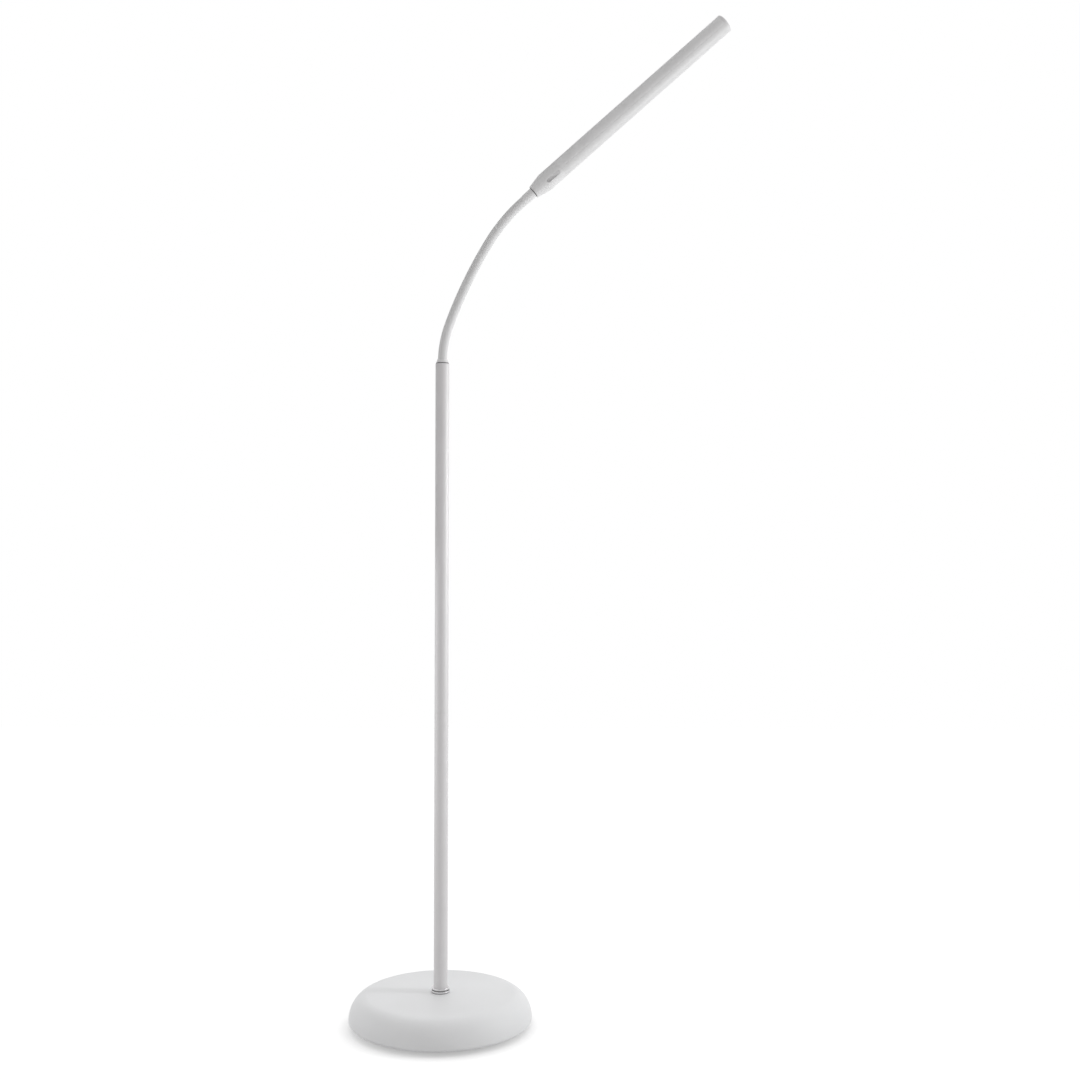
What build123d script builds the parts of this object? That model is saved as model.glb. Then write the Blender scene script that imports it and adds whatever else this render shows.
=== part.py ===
from build123d import *
import math
import os
from dataclasses import dataclass

os.makedirs("parts", exist_ok=True)

# A floor lamp: weighted round base, two-piece pole, gooseneck and tubular LED head.
# Millimetres, +Z up. The origin is on the floor, on the pole's axis; the neck bends towards +X.

# Clearances
push_clearance = 0.05
loose_clearance = 0.3
slide_clearance = 0.1

# Base: pad, plate and cover
pad_radius = 78.0
pad_thickness = 1.9
plate_thickness = 1.5
base_radius = 125.0
base_equator_height = 11.0
base_crown_height = 34.3
base_crown_drop = 1.3
base_flat_radius = 98.0
base_lip_radius = 92.0
base_lip_height = 1.4
base_wall = 2.8
base_seat_radius = 16.0
base_hub_radius = 18.0

# Base: plate screws
plate_screw_count = 4
plate_screw_circle = 84.0
plate_screw_radius = 1.5
plate_screw_length = 10.0
plate_screw_head_radius = 3.2
plate_screw_floor_gap = 0.5
screw_boss_radius = 4.5

# Base: weight and the clamp in its middle
weight_radius = 76.0
weight_thickness = 20.0
clamp_recess_depth = 14.0
clamp_recess_margin = 3.0
lead_groove_width = 5.0
lead_groove_height = 5.5
nipple_radius = 5.0
nipple_bore = 3.4
nipple_overhang = 1.0
nipple_engagement = 20.0
washer_radius = 14.0
washer_thickness = 2.0
nut_across_flats = 17.0
nut_thickness = 5.0

# Base: power inlet at the back
inlet_height = 21.0
inlet_pocket_radius = 8.5
inlet_pocket_depth = 12.0
inlet_panel = 3.0
inlet_barrel_radius = 4.0
inlet_barrel_overhang = 1.5
inlet_hole_radius = 2.85
inlet_hole_depth = 9.0
inlet_pin_radius = 1.0
inlet_pin_setback = 1.5
inlet_body_radius = 5.5
inlet_body_length = 12.0
inlet_nut_across_flats = 11.0
inlet_nut_thickness = 2.0

# Collar round the pole's foot
collar_radius = 12.8
collar_ring_height = 3.4
collar_groove_radius = 11.4
collar_groove_height = 0.8
collar_flange_radius = 12.2
collar_flange_height = 2.4
collar_edge = 0.5

# Pole
pole_radius = 9.5
pole_wall = 1.2
pole_lower_length = 382.0
pole_upper_length = 479.5
pole_seam_chamfer = 0.3
pole_foot_length = 25.0
coupler_length = 60.0
coupler_wall = 2.0

# Neck socket on the pole's top
socket_depth = 24.0
socket_floor = 3.0
socket_cap_height = 7.0
socket_cap_foot_radius = 8.8
socket_cap_mouth_radius = 7.0

# Gooseneck
neck_radius = 6.25
neck_sleeve_wall = 1.25
neck_core_bore = 3.0
neck_length = 251.3
neck_joint_count = 12
neck_ball_margin = 0.75
lower_ferrule_radius = 6.0
neck_zone_pitches = (2.5, 6.0, 3.5)
neck_zone_turns = (20.0, 11.2, 17.1)

# Upper ferrule between neck and head
upper_ferrule_radius = 6.9
upper_ferrule_length = 18.0
upper_ferrule_groove = 1.0
head_spigot_radius = 6.0
head_spigot_length = 16.0

# Head shells
head_radius = 13.0
head_length = 349.0
cone_small_radius = 8.9
cone_length = 20.0
cone_collar_length = 28.0
cone_cavity_radius = 9.9
cone_cavity_gap = 3.0
shell_spigot_length = 12.0
housing_wall = 1.5
diffuser_wall = 1.3
shell_split_offset = 2.6
shell_split_gap = 0.2
end_cap_thickness = 4.0
end_cap_edge = 1.0
end_cap_ring_length = 8.0
end_cap_ring_wall = 1.9
set_screw_radius = 1.5
set_screw_place = 8.0
set_screw_recess = 0.6
set_screw_key_radius = 0.75
set_screw_key_depth = 1.5

# Light source
web_offset = 0.2
web_thickness = 1.2
web_end_gap = 1.0
led_board_width = 19.0
led_board_thickness = 1.2
led_count = 36
led_size = (0.7, 3.5, 2.8)
led_end_margin = 6.0
board_screw_radius = 1.0
board_screw_head_radius = 1.9
board_screw_head_height = 1.2
board_screw_reach = 1.0
board_screw_sides = 6.5
board_screw_end_margin = 10.0
board_screw_pairs = 3

# Switch
button_tilt = 18.0
button_place = 34.0
button_slot_length = 20.0
button_slot_width = 5.2
button_face_depths = (1.7, 0.5)
button_flange_lip = 0.7
button_flange_thickness = 0.8
button_travel = 0.6
driver_board_start = 23.0
driver_board_length = 31.0
driver_board_thickness = 1.2
tact_side = 6.0
tact_height = 4.0
plunger_radius = 1.5
plunger_engagement = 1.0
plunger_bottom_gap = 0.4

# Leads
lead_radius = 1.5
lead_base_bend = 10.0
lead_foot_bend = 6.0
lead_inlet_run = 6.0
lead_riser_run = 12.0
lead_head_end = 30.0
led_lead_radius = 0.55

# Levels above the floor
plate_bottom = pad_thickness
plate_top = plate_bottom + plate_thickness
weight_top = plate_top + weight_thickness
base_top = base_equator_height + base_crown_height
base_shoulder = base_top - base_crown_drop
base_ceiling = base_shoulder - base_wall
clamp_seat = plate_top + clamp_recess_depth
nut_top = clamp_seat - washer_thickness
nut_bottom = nut_top - nut_thickness
seam_level = base_top + pole_lower_length
pole_top = seam_level + pole_upper_length
socket_bottom = pole_top - socket_depth
ferrule_bottom = socket_bottom + socket_floor

# Radii and places that follow from the sizes above
pole_bore = pole_radius - pole_wall
neck_sleeve_bore = neck_radius - neck_sleeve_wall
neck_core_radius = neck_sleeve_bore - push_clearance
ball_radius = neck_radius + neck_ball_margin
inlet_floor = base_radius - inlet_pocket_depth
inlet_panel_back = inlet_floor - inlet_panel
inlet_body_back = inlet_panel_back - inlet_body_length
inlet_barrel_front = inlet_floor + inlet_nut_thickness + inlet_barrel_overhang
lead_level = plate_top + lead_radius + loose_clearance
lead_riser_top = inlet_body_back - lead_inlet_run
lead_riser_foot = lead_riser_top - lead_riser_run
cone_end = cone_length + cone_collar_length
shell_end = head_length - end_cap_thickness
housing_bore = head_radius - housing_wall
shell_spigot_radius = housing_bore - push_clearance
web_start = cone_end + shell_spigot_length + web_end_gap
web_end = shell_end - end_cap_ring_length - web_end_gap
led_board_back = web_offset + web_thickness
led_board_front = led_board_back + led_board_thickness
driver_board_back = lead_radius + slide_clearance
driver_board_front = driver_board_back + driver_board_thickness
driver_board_end = driver_board_start + driver_board_length
tact_top = driver_board_front + tact_height


def cylinder(radius, bottom, top):
    """Upright cylinder on the Z axis between two heights."""
    align = (Align.CENTER, Align.CENTER, Align.MIN)
    return Pos(0, 0, bottom) * Cylinder(radius, top - bottom, align=align)


def tube(outer, inner, bottom, top):
    """Upright tube on the Z axis between two heights."""
    return cylinder(outer, bottom, top) - cylinder(inner, bottom, top)


def block(x_range, y_range, z_range):
    """Box between pairs of limits along X, Y and Z."""
    size = [high - low for low, high in (x_range, y_range, z_range)]
    corner = Pos(x_range[0], y_range[0], z_range[0])
    return corner * Box(*size, align=(Align.MIN, Align.MIN, Align.MIN))


def turned(*profile):
    """Solid turned round the Z axis from corner points of radius and height."""
    return revolve(Plane.XZ * make_face(Polyline(*profile, close=True)), Axis.Z)


def hexagon(across_flats, bottom, top):
    """Hexagonal prism on the Z axis."""
    outline = RegularPolygon(across_flats / 2, 6, major_radius=False)
    return Pos(0, 0, bottom) * extrude(outline, amount=top - bottom)


def rearward(shape):
    """Turns a shape made along +Z to lie along +Y on the inlet's axis."""
    return Pos(0, 0, inlet_height) * Rot(-90, 0, 0) * shape


def screw_places(count, circle):
    """Places evenly spaced on a circle, halfway between the X and Y axes."""
    return [Rot(0, 0, 45 + 360 * i / count) * Pos(circle, 0, 0) for i in range(count)]


# Base


def base_surface():
    """Edges of the cover's outer profile, from its lip over the equator to the seat."""
    under = EllipticalCenterArc(
        (base_lip_radius, base_equator_height),
        base_radius - base_lip_radius,
        base_equator_height - base_lip_height,
        start_angle=-90,
        arc_size=90,
    )
    side = EllipticalCenterArc(
        (base_flat_radius, base_equator_height),
        base_radius - base_flat_radius,
        base_shoulder - base_equator_height,
        start_angle=0,
        arc_size=90,
    )
    seat = (base_seat_radius, base_top)
    shoulder = (base_flat_radius, base_shoulder)
    crown = TangentArc(seat, shoulder, tangent=(1, 0))
    return [under, side, crown]


def base_envelope():
    """The cover's outer shape, filled."""
    closing = Polyline(
        (base_seat_radius, base_top),
        (0, base_top),
        (0, base_lip_height),
        (base_lip_radius, base_lip_height),
    )
    face = make_face([*base_surface(), *closing.edges()])
    return revolve(Plane.XZ * face, Axis.Z)


def base_shell():
    """The cover's wall with the hub that stands on the weight."""
    inner_lip = base_lip_height + base_wall
    hub_bore = nipple_radius + loose_clearance
    ceiling_side = EllipticalCenterArc(
        (base_flat_radius, base_equator_height),
        base_radius - base_wall - base_flat_radius,
        base_ceiling - base_equator_height,
        start_angle=0,
        arc_size=90,
    )
    inner_under = EllipticalCenterArc(
        (base_lip_radius, base_equator_height),
        base_radius - base_wall - base_lip_radius,
        base_equator_height - inner_lip,
        start_angle=-90,
        arc_size=90,
    )
    middle = Polyline(
        (base_seat_radius, base_top),
        (hub_bore, base_top),
        (hub_bore, weight_top),
        (base_hub_radius, weight_top),
        (base_hub_radius, base_ceiling),
        (base_flat_radius, base_ceiling),
    )
    rim = Line((base_lip_radius, inner_lip), (base_lip_radius, base_lip_height))
    edges = [*base_surface(), *middle.edges(), ceiling_side, inner_under, rim]
    return revolve(Plane.XZ * make_face(edges), Axis.Z)


def base_cover():
    """Pebble-shaped cover with screw bosses and a pocket for the inlet at the back."""
    cover = base_shell()
    boss = cylinder(screw_boss_radius, plate_top, base_ceiling)
    pilot_top = plate_top + plate_screw_length + push_clearance
    pilot = cylinder(plate_screw_radius + push_clearance, plate_top, pilot_top)
    for place in screw_places(plate_screw_count, plate_screw_circle):
        cover = cover + place * boss - place * pilot
    pocket_wall = inlet_pocket_radius + base_wall
    inlet_boss = rearward(cylinder(pocket_wall, inlet_panel_back, base_radius))
    cover = cover + (inlet_boss & base_envelope())
    pocket = cylinder(inlet_pocket_radius, inlet_floor, base_radius)
    barrel_hole = cylinder(
        inlet_barrel_radius + push_clearance, inlet_panel_back, inlet_floor
    )
    return cover - rearward(pocket) - rearward(barrel_hole)


def base_plate():
    """Steel disc that closes the base from below."""
    plate = cylinder(base_lip_radius - loose_clearance, plate_bottom, plate_top)
    hole = cylinder(plate_screw_radius + loose_clearance, plate_bottom, plate_top)
    for place in screw_places(plate_screw_count, plate_screw_circle):
        plate = plate - place * hole
    return plate


def base_screws():
    """Pan-head screws that hold the plate to the cover's bosses."""
    head = cylinder(plate_screw_head_radius, plate_screw_floor_gap, plate_bottom)
    shank = cylinder(plate_screw_radius, plate_bottom, plate_top + plate_screw_length)
    places = screw_places(plate_screw_count, plate_screw_circle)
    return Compound([place * (head + shank).solid() for place in places])


def base_weight():
    """Cast disc with a recess for the clamp's nut, and a groove and rim notch for the lead."""
    recess = washer_radius + clamp_recess_margin
    weight = cylinder(weight_radius, plate_top, weight_top)
    weight = weight - cylinder(nipple_radius + loose_clearance, plate_top, weight_top)
    weight = weight - cylinder(recess, plate_top, clamp_seat)
    half_groove = lead_groove_width / 2
    groove = block(
        (-half_groove, half_groove),
        (0, weight_radius),
        (plate_top, plate_top + lead_groove_height),
    )
    notch = block(
        (-half_groove, half_groove),
        (lead_riser_foot - lead_base_bend, base_radius),
        (plate_top, weight_top),
    )
    return weight - groove - notch


def base_nut():
    """Hexagon nut on the threaded nipple."""
    thread = cylinder(nipple_radius + push_clearance, nut_bottom, nut_top)
    return hexagon(nut_across_flats, nut_bottom, nut_top) - thread


def base_collar():
    """Bright ring with a groove, on the base round the pole."""
    bore = pole_radius + push_clearance
    groove_bottom = base_top + collar_ring_height
    groove_top = groove_bottom + collar_groove_height
    top = groove_top + collar_flange_height
    return turned(
        (bore, base_top),
        (collar_radius, base_top),
        (collar_radius, groove_bottom - collar_edge),
        (collar_radius - collar_edge, groove_bottom),
        (collar_groove_radius, groove_bottom),
        (collar_groove_radius, groove_top),
        (collar_flange_radius, groove_top),
        (collar_flange_radius, top - collar_edge),
        (collar_flange_radius - collar_edge, top),
        (bore, top),
    )


def dc_socket():
    """Panel socket with a centre pin, its mouth in the pocket at the back."""
    hole_bottom = inlet_barrel_front - inlet_hole_depth
    pin_top = inlet_barrel_front - inlet_pin_setback
    socket = cylinder(inlet_body_radius, inlet_body_back, inlet_panel_back)
    socket = socket + cylinder(inlet_barrel_radius, inlet_panel_back, inlet_barrel_front)
    socket = socket - cylinder(inlet_hole_radius, hole_bottom, inlet_barrel_front)
    socket = socket + cylinder(inlet_pin_radius, hole_bottom, pin_top)
    return rearward(socket)


def dc_socket_nut():
    """Thin nut that holds the socket in the pocket's floor."""
    nut_front = inlet_floor + inlet_nut_thickness
    nut = hexagon(inlet_nut_across_flats, inlet_floor, nut_front)
    hole = cylinder(inlet_barrel_radius + push_clearance, inlet_floor, nut_front)
    return rearward(nut - hole)


# Pole


def pole_lower():
    """Tube from the base up to the seam."""
    return turned(
        (pole_bore, base_top),
        (pole_radius, base_top),
        (pole_radius, seam_level - pole_seam_chamfer),
        (pole_radius - pole_seam_chamfer, seam_level),
        (pole_bore, seam_level),
    )


def pole_upper():
    """Tube from the seam up to the neck's socket."""
    return turned(
        (pole_bore, seam_level),
        (pole_radius - pole_seam_chamfer, seam_level),
        (pole_radius, seam_level + pole_seam_chamfer),
        (pole_radius, pole_top - pole_seam_chamfer),
        (pole_radius - pole_seam_chamfer, pole_top),
        (pole_bore, pole_top),
    )


def pole_coupler():
    """Inner sleeve that joins the two tubes behind the seam."""
    outer = pole_bore - push_clearance
    half = coupler_length / 2
    return tube(outer, outer - coupler_wall, seam_level - half, seam_level + half)


def neck_socket():
    """Plug in the pole's top with a tapered cap that the neck comes out of."""
    plug = pole_bore - push_clearance
    lead_hole = lead_radius + loose_clearance
    cap_bore = neck_radius + loose_clearance
    ferrule_hole = lower_ferrule_radius + push_clearance
    return turned(
        (lead_hole, socket_bottom),
        (plug, socket_bottom),
        (plug, pole_top),
        (socket_cap_foot_radius, pole_top),
        (socket_cap_mouth_radius, pole_top + socket_cap_height),
        (cap_bore, pole_top + socket_cap_height),
        (cap_bore, pole_top),
        (ferrule_hole, pole_top),
        (ferrule_hole, ferrule_bottom),
        (lead_hole, ferrule_bottom),
    )


# Gooseneck


@dataclass
class Bend:
    """A length of the neck that bends evenly towards +X in the XZ plane."""

    start: Vector
    heading: float
    length: float
    turn: float

    def direction(self, turned_by=0.0):
        angle = math.radians(self.heading + turned_by)
        return Vector(math.sin(angle), 0, math.cos(angle))

    def radius(self):
        return self.length / math.radians(self.turn)

    def centre(self):
        angle = math.radians(self.heading)
        return self.start + Vector(math.cos(angle), 0, -math.sin(angle)) * self.radius()

    def point(self, turned_by):
        centre = self.centre()
        return centre + (self.start - centre).rotate(Axis.Y, turned_by)

    def end(self):
        return self.point(self.turn)

    def next(self, length, turn):
        return Bend(self.end(), self.heading + self.turn, length, turn)

    def arc(self):
        return ThreePointArc(self.start, self.point(self.turn / 2), self.end())

    def tube(self, outer, inner, length):
        """Bent tube that follows this bend for the given length."""
        section = Plane(self.start, x_dir=(0, 1, 0), z_dir=self.direction())
        ring = section * (Circle(outer) - Circle(inner))
        angle = self.turn * length / self.length
        return revolve(ring, Axis(self.centre(), (0, 1, 0)), angle)


neck_pitch = neck_length / sum(neck_zone_pitches)


def neck_bends():
    """The neck's lengths from the pole up: half a pitch, whole pitches, half a pitch."""
    halves_and_wholes = [0.5] + [1.0] * (neck_joint_count - 1) + [0.5]
    share = sum(neck_zone_pitches) / neck_joint_count
    bends = []
    travelled = 0.0
    for part in halves_and_wholes:
        pitches = part * share
        middle = travelled + pitches / 2
        zone = 0
        while middle > sum(neck_zone_pitches[: zone + 1]):
            zone = zone + 1
        turn = neck_zone_turns[zone] * pitches / neck_zone_pitches[zone]
        length = pitches * neck_pitch
        if bends:
            bends.append(bends[-1].next(length, turn))
        else:
            bends.append(Bend(Vector(0, 0, pole_top), 0.0, length, turn))
        travelled = travelled + pitches
    return bends


bends = neck_bends()
neck_joints = [bend.start for bend in bends[1:]]
neck_end = bends[-1].end()
head_heading = bends[-1].heading + bends[-1].turn
head_direction = bends[-1].direction(bends[-1].turn)
light_direction = head_direction.rotate(Axis.Y, 90)
head_origin = neck_end + head_direction * (upper_ferrule_length + upper_ferrule_groove)
head_place = Plane(head_origin, x_dir=light_direction, z_dir=head_direction).location
ferrule_start = -(upper_ferrule_length + upper_ferrule_groove)


def neck_length_tube(index, outer, inner):
    """One length of the neck's tube, hollowed below and domed above to turn on its joints."""
    bend = bends[index]
    solid = bend.tube(outer, inner, bend.length)
    if index > 0:
        hollow = Sphere(ball_radius + loose_clearance)
        solid = solid - Pos(*bend.start) * hollow
    if index < neck_joint_count:
        dome = bends[index + 1].tube(outer, inner, ball_radius)
        solid = solid + (dome & Pos(*bend.end()) * Sphere(ball_radius))
    return solid


def neck_core(index):
    """Wound metal core, with straight ends in the two ferrules."""
    core = neck_length_tube(index, neck_core_radius, neck_core_bore)
    if index == 0:
        core = core + tube(neck_core_radius, neck_core_bore, ferrule_bottom, pole_top)
    if index == neck_joint_count:
        end = tube(neck_core_radius, neck_core_bore, ferrule_start, head_spigot_length)
        core = core + head_place * end
    return core


def neck_sleeve(index):
    """Smooth outer sleeve."""
    return neck_length_tube(index, neck_radius, neck_sleeve_bore)


def neck_lower_ferrule():
    """Crimped end of the core, inside the socket."""
    bore = neck_core_radius + push_clearance
    return tube(lower_ferrule_radius, bore, ferrule_bottom, pole_top)


def neck_upper_ferrule():
    """Straight ferrule below the head, with the spigot that the head is pushed on."""
    bore = neck_core_radius + push_clearance
    return turned(
        (bore, ferrule_start),
        (upper_ferrule_radius, ferrule_start),
        (upper_ferrule_radius, -upper_ferrule_groove),
        (head_spigot_radius, -upper_ferrule_groove),
        (head_spigot_radius, head_spigot_length),
        (bore, head_spigot_length),
    )


# Head, made along +Z from its small end, with the light towards +X

button_side = (
    math.sin(math.radians(button_tilt)),
    -math.cos(math.radians(button_tilt)),
    0,
)
button_place_on_head = Plane(
    (0, 0, button_place), x_dir=(0, 0, 1), z_dir=button_side
).location


def slot_prism(length, width, bottom, top):
    """Oblong prism that stands out from the head's axis on the switch's side."""
    prism = extrude(SlotOverall(length, width), amount=top - bottom)
    return button_place_on_head * Pos(0, 0, bottom) * prism


def cone_radius_at(place):
    """The cone's outer radius at a distance from its small end."""
    return cone_small_radius + (head_radius - cone_small_radius) * place / cone_length


def along_y(shape):
    """Turns a shape made along +Z to lie along +Y at the set screw's place."""
    return Pos(0, 0, set_screw_place) * Rot(-90, 0, 0) * shape


def head_cone():
    """Tapered neck end of the head with the switch's slot."""
    bore = head_spigot_radius + push_clearance
    cavity_start = head_spigot_length + cone_cavity_gap
    spigot_end = cone_end + shell_spigot_length
    cone = turned(
        (bore, 0),
        (cone_small_radius, 0),
        (head_radius, cone_length),
        (head_radius, cone_end),
        (shell_spigot_radius, cone_end),
        (shell_spigot_radius, spigot_end),
        (cone_cavity_radius, spigot_end),
        (cone_cavity_radius, cavity_start),
        (bore, cavity_start),
    )
    slot = slot_prism(button_slot_length, button_slot_width, tact_top, head_radius)
    hole = cylinder(set_screw_radius + push_clearance, 0, head_radius)
    return cone - slot - along_y(hole)


def head_set_screw():
    """Headless screw that bears on the ferrule's spigot."""
    top = cone_radius_at(set_screw_place) - set_screw_recess
    screw = cylinder(set_screw_radius, head_spigot_radius, top)
    key = cylinder(set_screw_key_radius, top - set_screw_key_depth, top)
    return along_y(screw - key)


def led_board_screw_places():
    """Places of the board's screws along and across the board."""
    first = web_start + board_screw_end_margin
    last = web_end - board_screw_end_margin
    step = (last - first) / (board_screw_pairs - 1)
    rows = [first + step * i for i in range(board_screw_pairs)]
    sides = (-board_screw_sides, board_screw_sides)
    return [Pos(0, side, row) * Rot(0, 90, 0) for row in rows for side in sides]


def head_housing():
    """Upper shell of the head with the flat web that carries the light board."""
    shell = tube(head_radius, housing_bore, cone_end, shell_end)
    below = block(
        (shell_split_offset, head_radius),
        (-head_radius, head_radius),
        (cone_end, shell_end),
    )
    web = block(
        (web_offset, led_board_back), (-head_radius, head_radius), (web_start, web_end)
    )
    wall_middle = head_radius - housing_wall / 2
    housing = (shell - below) + (web & cylinder(wall_middle, web_start, web_end))
    hole = cylinder(board_screw_radius + push_clearance, web_offset, led_board_back)
    for place in led_board_screw_places():
        housing = housing - place * hole
    return housing


def head_diffuser():
    """Opal lower shell of the head."""
    shell = tube(head_radius, head_radius - diffuser_wall, cone_end, shell_end)
    above = block(
        (-head_radius, shell_split_offset + shell_split_gap),
        (-head_radius, head_radius),
        (cone_end, shell_end),
    )
    return shell - above


def head_end_cap():
    """Flat tip with a ring that plugs into the two shells."""
    ring_bottom = shell_end - end_cap_ring_length
    ring = tube(
        shell_spigot_radius,
        shell_spigot_radius - end_cap_ring_wall,
        ring_bottom,
        shell_end,
    )
    disc = cylinder(head_radius, shell_end, head_length)
    disc = fillet(disc.edges().group_by(Axis.Z)[-1], end_cap_edge)
    return disc + ring


def led_board():
    """Strip that carries the light-emitting chips, screwed to the housing's web."""
    half = led_board_width / 2
    board = block((led_board_back, led_board_front), (-half, half), (web_start, web_end))
    hole = cylinder(
        board_screw_radius + push_clearance, led_board_back, led_board_front
    )
    for place in led_board_screw_places():
        board = board - place * hole
    return board


def led_chips():
    """Row of light-emitting chips along the middle of the board."""
    height, width, length = led_size
    first = web_start + led_end_margin
    step = (web_end - web_start - 2 * led_end_margin - length) / (led_count - 1)
    chips = []
    for i in range(led_count):
        bottom = first + step * i
        chip = block(
            (led_board_front, led_board_front + height),
            (-width / 2, width / 2),
            (bottom, bottom + length),
        )
        chips.append(chip)
    return chips


def led_board_screws():
    """Small screws through the board into the web."""
    tip = web_offset - board_screw_reach
    shank = cylinder(board_screw_radius, tip, led_board_front)
    head_top = led_board_front + board_screw_head_height
    head = cylinder(board_screw_head_radius, led_board_front, head_top)
    return [place * (shank + head) for place in led_board_screw_places()]


def switch_block(length_range, width, bottom, top):
    """Block on the switch's side, placed along the head's axis."""
    low, high = length_range
    shape = block(
        (low - button_place, high - button_place), (-width / 2, width / 2), (bottom, top)
    )
    return button_place_on_head * shape


def driver_board():
    """Circuit board across the cone's cavity."""
    half_width = math.sqrt(cone_cavity_radius**2 - driver_board_front**2)
    width = 2 * (half_width - push_clearance)
    reach = (driver_board_start, driver_board_end)
    return switch_block(reach, width, driver_board_back, driver_board_front)


def tact_switch():
    """Push switch on the board, with a bore for its plunger."""
    reach = (button_place - tact_side / 2, button_place + tact_side / 2)
    body = switch_block(reach, tact_side, driver_board_front, tact_top)
    depth = plunger_engagement + button_travel + plunger_bottom_gap
    bore = cylinder(plunger_radius + slide_clearance, tact_top - depth, tact_top)
    return body - button_place_on_head * bore


def button_flange_top():
    """Height of the flange's upper face above the head's axis, just inside the wall."""
    half_width = button_slot_width / 2 + button_flange_lip
    return math.sqrt(cone_cavity_radius**2 - half_width**2) - slide_clearance


def switch_plunger():
    """Pin between the switch and the button."""
    flange_bottom = button_flange_top() - button_flange_thickness
    bottom = tact_top - plunger_engagement
    return button_place_on_head * cylinder(plunger_radius, bottom, flange_bottom)


def switch_button():
    """Oblong button whose face lies deepest at its neck end."""
    length = button_slot_length - 2 * loose_clearance
    width = button_slot_width - 2 * loose_clearance
    flange_top = button_flange_top()
    flange = slot_prism(
        button_slot_length + 2 * button_flange_lip,
        button_slot_width + 2 * button_flange_lip,
        flange_top - button_flange_thickness,
        flange_top,
    )
    half = length / 2
    neck_depth, tip_depth = button_face_depths
    profile = Polyline(
        (-half, flange_top),
        (half, flange_top),
        (half, head_radius - tip_depth),
        (-half, head_radius - neck_depth),
        close=True,
    )
    wedge = extrude(Plane.XZ * make_face(profile), amount=width / 2, both=True)
    stem = slot_prism(length, width, flange_top, head_radius)
    return flange + (stem & button_place_on_head * wedge)


# Leads


def supply_lead():
    """Lead from the inlet through base, pole and neck to the driver board."""
    route = FilletPolyline(
        (0, inlet_body_back, inlet_height),
        (0, lead_riser_top, inlet_height),
        (0, lead_riser_foot, lead_level),
        (0, 0, lead_level),
        (0, 0, pole_top),
        radius=[lead_base_bend, lead_base_bend, lead_foot_bend],
    )
    head_run = Line(neck_end, (head_place * Pos(0, 0, lead_head_end)).position)
    arcs = [bend.arc() for bend in bends]
    path = Wire([*route.edges(), *arcs, head_run])
    section = Plane((0, inlet_body_back, inlet_height), z_dir=(0, -1, 0))
    lead = sweep(section * Circle(lead_radius), path=path)
    expected = math.pi * lead_radius**2 * path.length
    radii = [lead_base_bend, lead_base_bend, lead_foot_bend]
    print("supply lead length", round(path.length, 1), "bend radii", radii)
    print("supply lead volume", round(lead.volume, 1), "section times length", round(expected, 1))
    return lead


def led_lead():
    """Short link from the driver board's end to the light board's end."""
    depth = (driver_board_back + driver_board_front) / 2
    across = (led_board_back + led_board_front) / 2
    side = (depth - across * button_side[0]) / button_side[1]
    return Pos(across, side, 0) * cylinder(led_lead_radius, driver_board_end, web_start)


# Named pieces, base and pole first, then the neck's lengths, then the head

pieces = {
    "base_pad": cylinder(pad_radius, 0, plate_bottom),
    "base_plate": base_plate(),
    "base_screws": base_screws(),
    "base_weight": base_weight(),
    "base_cover": base_cover(),
    "base_washer": tube(
        washer_radius, nipple_radius + push_clearance, nut_top, clamp_seat
    ),
    "base_nut": base_nut(),
    "base_nipple": tube(
        nipple_radius,
        nipple_bore,
        nut_bottom - nipple_overhang,
        base_top + nipple_engagement,
    ),
    "base_collar": base_collar(),
    "dc_socket": dc_socket(),
    "dc_socket_nut": dc_socket_nut(),
    "pole_foot": tube(
        pole_bore - push_clearance,
        nipple_radius + push_clearance,
        base_top,
        base_top + pole_foot_length,
    ),
    "pole_lower": pole_lower(),
    "pole_upper": pole_upper(),
    "pole_coupler": pole_coupler(),
    "neck_socket": neck_socket(),
    "neck_lower_ferrule": neck_lower_ferrule(),
    "supply_lead": supply_lead(),
}
for index in range(neck_joint_count + 1):
    pieces[f"neck_core_{index:02d}"] = neck_core(index)
    pieces[f"neck_sleeve_{index:02d}"] = neck_sleeve(index)

head_pieces = {
    "neck_upper_ferrule": neck_upper_ferrule(),
    "head_cone": head_cone(),
    "head_set_screw": head_set_screw(),
    "head_housing": head_housing(),
    "head_diffuser": head_diffuser(),
    "head_end_cap": head_end_cap(),
    "led_board": led_board(),
    "led_lead": led_lead(),
    "driver_board": driver_board(),
    "tact_switch": tact_switch(),
    "switch_plunger": switch_plunger(),
    "switch_button": switch_button(),
}
for name, shape in head_pieces.items():
    pieces[name] = head_place * shape
head_groups = {"led_chips": led_chips(), "led_board_screws": led_board_screws()}
for name, shapes in head_groups.items():
    pieces[name] = Compound([head_place * shape.solid() for shape in shapes])

for name, shape in pieces.items():
    export_step(shape, f"parts/{name}.step")
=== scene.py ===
import math

import bmesh
import bpy
from bpy.props import FloatProperty, FloatVectorProperty, IntProperty, PointerProperty
from mathutils import Matrix, Vector


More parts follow.
